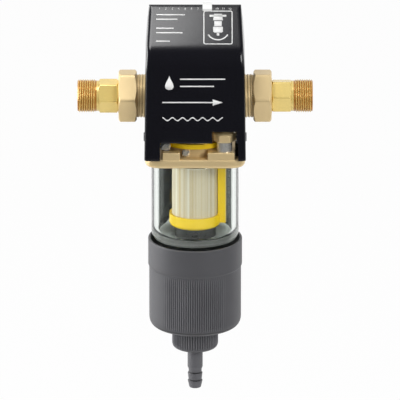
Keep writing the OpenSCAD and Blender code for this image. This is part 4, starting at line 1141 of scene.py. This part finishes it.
class FILTER_OT_drain(Operator):
    """Build the ribbed drain nut and the hose barb"""

    bl_idname = "filter.drain"
    bl_label = "Drain nut and barb"

    def execute(self, context):
        self.nut(context.scene.filter_sizes)
        self.barb()
        return {"FINISHED"}

    def nut(self, sizes):
        """Ring nut: turned profile with a row of grooves round its side."""
        top, bottom = NUT_HIGH.z, NUT_LOW.z
        outer = box_radius(NUT_LOW, NUT_HIGH)
        pocket, bore, hole = 13.75 * MM, 10.51 * MM, 6.4 * MM
        ledge, pocket_floor = BARB_HIGH.z - 2.8 * MM, top - 1.6 * MM
        low, low_end, high, high_end = bottom + 2.6 * MM, bottom + 4 * MM, top - 1.6 * MM, top - MM
        groove_depth, crest_highlight = 0.7 * MM, 1.35
        profile = [(hole, bottom), (outer, bottom), (outer, top), (pocket, top), (pocket, pocket_floor),
                   (bore, pocket_floor), (bore, ledge), (hole, ledge)]
        cuts = np.array([0.4, 5.0, 1.0, 0.3, 0.2, 0.2, 0.2, 0.2]) * MM
        radius, z = finer(ease(profile, cuts, 8), 3 * MM).T
        columns = around(sizes.nut_grooves * GROOVE_COLUMNS)
        groove = ribs(columns, around(sizes.nut_grooves), np.pi / sizes.nut_grooves)
        zone = ramp(z, low, low_end) * (1 - ramp(z, high, high_end)) * (radius > pocket + MM)
        zone = zone[:, None]
        grid = spin(radius[:, None] - groove_depth * zone * groove, z, columns, centre=on_axis())
        # Painted light: painted highlight on the lands, painted shade in the groove roots
        piece("ribbed_drain_nut", [patch(grid)], "drain_nut", "grey_plastic", ["drain_nut"], sharp=40,
              painted_light=zone * (crest_highlight - 2 * groove))

    def barb(self):
        """Hose barb: turned stem with a waist and two upward shoulders, with painted light: lightened all over,
        with painted shade in the grooves under the shoulders.
        """
        top, tip, nut_bottom = BARB_HIGH.z, BARB_LOW.z, NUT_LOW.z
        bore, flange, stem, neck, shoulder = 3.4 * MM, 10.05 * MM, 6.1 * MM, 5.25 * MM, 5.95 * MM
        pitch, waist, undercut, flange_end = 6.4 * MM, 4.6 * MM, 0.5 * MM, top - 2.4 * MM
        first = tip + 2 * pitch
        stem_end = first + waist
        nose, inset, waist_top = shoulder - 1.3 * MM, stem - 0.2 * MM, stem_end - 1.6 * MM
        root_reach, crest_skin, barb_lightening = 0.7 * MM, 0.3 * MM, 0.6
        profile = [
            (bore, top), (bore, tip), (nose, tip), (shoulder, first - pitch - undercut),
            (neck, first - pitch), (shoulder, first - undercut), (neck, first), (neck, waist_top),
            (stem, stem_end), (stem, nut_bottom - MM), (inset, nut_bottom - MM), (inset, flange_end),
            (flange, flange_end), (flange, top)]
        cuts = np.array([0.3, 0.5, 0.9, 0.25, 0.25, 0.25, 0.25, 0.9, 1.2, 0.1, 0.1, 0.3, 0.3, 0.3]) * MM
        wall = turned_patch(profile, cuts, around(96), centre=on_axis(), longest=MM)
        radius = np.hypot(wall[0][:, 0] - AXIS_X, wall[0][:, 1])
        over_shoulder = np.abs(wall[0][:, 2:] - (first, first - pitch)).min(1) < root_reach
        root = over_shoulder & (radius > bore + MM) & (radius < shoulder - crest_skin)
        # Painted light: the barb is lightened all over, with painted shade in the grooves under its shoulders
        piece("hose_barb_moulded", [wall], "hose_barb", "grey_plastic", ["hose_barb"], sharp=40,
              painted_light=np.where(root, -1.0, barb_lightening))


class FILTER_OT_stage(Operator):
    """Set up the floor, the studio light and the camera"""

    bl_idname = "filter.stage"
    bl_label = "Stage"

    # Grey levels at bearings in degrees: what gloss mirrors, and the left half of what the clear bowl shows
    WALLS = ((0, 0.06), (60, 0.06), (104, 0.1), (116, 1.0), (180, 1.0), (244, 1.0), (256, 0.1), (300, 0.05),
             (360, 0.06))
    GLASS = ((0, 1.0), (52, 1.0), (62, 0.1), (122, 0.1), (128, 1.0), (152, 1.0), (158, 0.01), (175, 0.01),
             (176, 1.0))

    def execute(self, context):
        scene = context.scene
        scene.view_settings.view_transform = "Standard"
        self.floor()
        self.studio(scene)
        self.lamps(scene)
        self.camera(scene)
        return {"FINISHED"}

    def floor(self):
        """Pale floor well below the hanging filter: a flat grid."""
        drop, seen_share = 0.2, 0.97
        x, y = np.meshgrid(np.linspace(-3, 3, 13), np.linspace(-0.8, 6, 13))
        z = np.full_like(x, CAD_BOX[0].z - drop)
        points, quads = patch(np.stack([x + AXIS_X, y, z], -1), False, False)
        mesh = bpy.data.meshes.new("floor")
        mesh.from_pydata(points.tolist(), [], quads.tolist())
        made = bpy.data.objects.new("floor", mesh)
        bpy.context.scene.collection.objects.link(made)
        made.visible_transmission = False
        made.visible_glossy = False
        pale = bpy.data.materials.new("pale_floor")
        tree = blank_tree(pale)
        camera = add(tree, "ShaderNodeLightPath").outputs["Is Camera Ray"]
        paint = add(tree, "ShaderNodeBsdfDiffuse", {"Color": grey(0.85)})
        glow = add(tree, "ShaderNodeEmission", {"Color": grey(1.0), "Strength": 1.0})
        seen = add(tree, "ShaderNodeMath", {0: camera, 1: seen_share}, operation="MULTIPLY")
        both = add(tree, "ShaderNodeMixShader", {0: seen, 1: paint, 2: glow})
        add(tree, "ShaderNodeOutputMaterial", {"Surface": both})
        mesh.materials.append(pale)

    def studio(self, scene):
        """White room for the camera and an even light for plain surfaces. What metal and gloss mirror depends
        on the direction: dark in front, bright at the sides, overhead and below. What is seen through the
        clear bowl depends on the bearing: white straight behind, dark wings beside it, white walls farther
        round."""
        scene.world = bpy.data.worlds.new("studio")
        tree = blank_tree(scene.world)
        way = add(tree, "ShaderNodeTexCoord").outputs["Generated"]
        axes = add(tree, "ShaderNodeSeparateXYZ", {0: way}).outputs
        bearing = add(tree, "ShaderNodeMath", {0: axes["X"], 1: axes["Y"]}, operation="ARCTAN2")
        share = add(tree, "ShaderNodeMapRange", {"Value": bearing, "From Min": -math.pi, "From Max": math.pi})
        above = add(tree, "ShaderNodeMapRange", {"Value": axes["Z"], "From Min": 0.82, "From Max": 0.95})
        below = add(tree, "ShaderNodeMapRange", {"Value": axes["Z"], "From Min": -0.5, "From Max": -0.75})
        path = add(tree, "ShaderNodeLightPath").outputs
        mirrored = self.levels(tree, share, self.WALLS)
        for factor, level in ((above, 0.8), (below, 0.9)):
            mirrored = add(tree, "ShaderNodeMix", {0: factor, 6: mirrored, 7: grey(level)}, data_type="RGBA")
        right_half = tuple((360 - degrees, level) for degrees, level in reversed(self.GLASS))
        glass = self.levels(tree, share, self.GLASS + right_half)
        light = (0.3, 0.3, 0.31, 1.0)
        for ray, shown in (("Is Glossy Ray", mirrored), ("Is Transmission Ray", glass),
                           ("Is Camera Ray", grey(1.0))):
            light = add(tree, "ShaderNodeMix", {0: path[ray], 6: light, 7: shown}, data_type="RGBA")
        background = add(tree, "ShaderNodeBackground", {"Color": light, "Strength": 1.0})
        add(tree, "ShaderNodeOutputWorld", {"Surface": background})

    def levels(self, tree, share, stops):
        """Grey levels at bearings in degrees, where 180 lies straight behind the filter."""
        node = add(tree, "ShaderNodeValToRGB", {0: share})
        marks = node.color_ramp.elements
        for degrees, level in stops[1:-1]:
            marks.new(degrees / 360).color = grey(level)
        marks[0].color = grey(stops[0][1])
        marks[-1].color = grey(stops[-1][1])
        return node

    def lamps(self, scene):
        """Soft boxes: a key at the left, a weaker one at the right, a fill in front and one over the roof.
        None of them is seen through the clear bowl."""
        aim = Vector(on_axis(-0.06))
        for name, offset, size, watts in (("key", (-1.1, 0.12, 0.12), 0.7, 14.0),
                                          ("right", (1.1, -0.1, 0.2), 0.6, 1.5),
                                          ("front", (0.7, -0.95, 0.5), 0.5, 7.5),
                                          ("roof", (-0.15, -0.16, 0.55), 0.25, 1.35)):
            lamp = bpy.data.lights.new(name, "AREA")
            lamp.shape = "SQUARE"
            lamp.size = size
            lamp.energy = watts
            made = bpy.data.objects.new(name, lamp)
            made.visible_transmission = False
            self.place(scene, made, aim, Vector(offset))

    def camera(self, scene):
        """Camera at the front, looking down 19 degrees, far off with a long lens as in a catalogue photo."""
        elevation, distance, view_width = math.radians(19), 10.0, 0.32
        target = Vector((AXIS_X + 3.9 * MM, 0.0, -88 * MM))
        data = bpy.data.cameras.new("camera")
        data.sensor_width = 36
        data.lens = data.sensor_width * distance / view_width
        back = Vector((0.0, -math.cos(elevation), math.sin(elevation)))
        scene.camera = bpy.data.objects.new("camera", data)
        self.place(scene, scene.camera, target, back * distance)

    def place(self, scene, made, target, offset):
        """Puts a lamp or camera at an offset from its target and turns it to look there."""
        made.location = target + offset
        made.rotation_euler = (-offset).to_track_quat("-Z", "Y").to_euler()
        scene.collection.objects.link(made)


STEPS = (FILTER_OT_solids, FILTER_OT_hood, FILTER_OT_marks, FILTER_OT_unions, FILTER_OT_plate, FILTER_OT_vent,
         FILTER_OT_bowl, FILTER_OT_handwheel, FILTER_OT_drain, FILTER_OT_stage)


class FILTER_PT_panel(Panel):
    """Sidebar panel that lists the steps in order"""

    bl_idname = "FILTER_PT_panel"
    bl_label = "Self cleaning filter"
    bl_space_type = "VIEW_3D"
    bl_region_type = "UI"
    bl_category = "Filter"

    def draw(self, context):
        for step in STEPS:
            self.layout.operator(step.bl_idname)


CLASSES = (FilterSizes, FilterColours, *STEPS, FILTER_PT_panel)


def register():
    """Registers the classes and hangs the settings on the scene."""
    for each in CLASSES:
        bpy.utils.register_class(each)
    bpy.types.Scene.filter_sizes = PointerProperty(type=FilterSizes)
    bpy.types.Scene.filter_colours = PointerProperty(type=FilterColours)


def unregister():
    """Takes the settings and the classes away again."""
    del bpy.types.Scene.filter_colours
    del bpy.types.Scene.filter_sizes
    for each in reversed(CLASSES):
        bpy.utils.unregister_class(each)


def main():
    """Runs the steps in order."""
    register()
    bpy.ops.filter.solids()
    bpy.ops.filter.hood()
    bpy.ops.filter.marks()
    bpy.ops.filter.unions()
    bpy.ops.filter.plate()
    bpy.ops.filter.vent()
    bpy.ops.filter.bowl()
    bpy.ops.filter.handwheel()
    bpy.ops.filter.drain()
    bpy.ops.filter.stage()


if __name__ == "__main__":
    main()
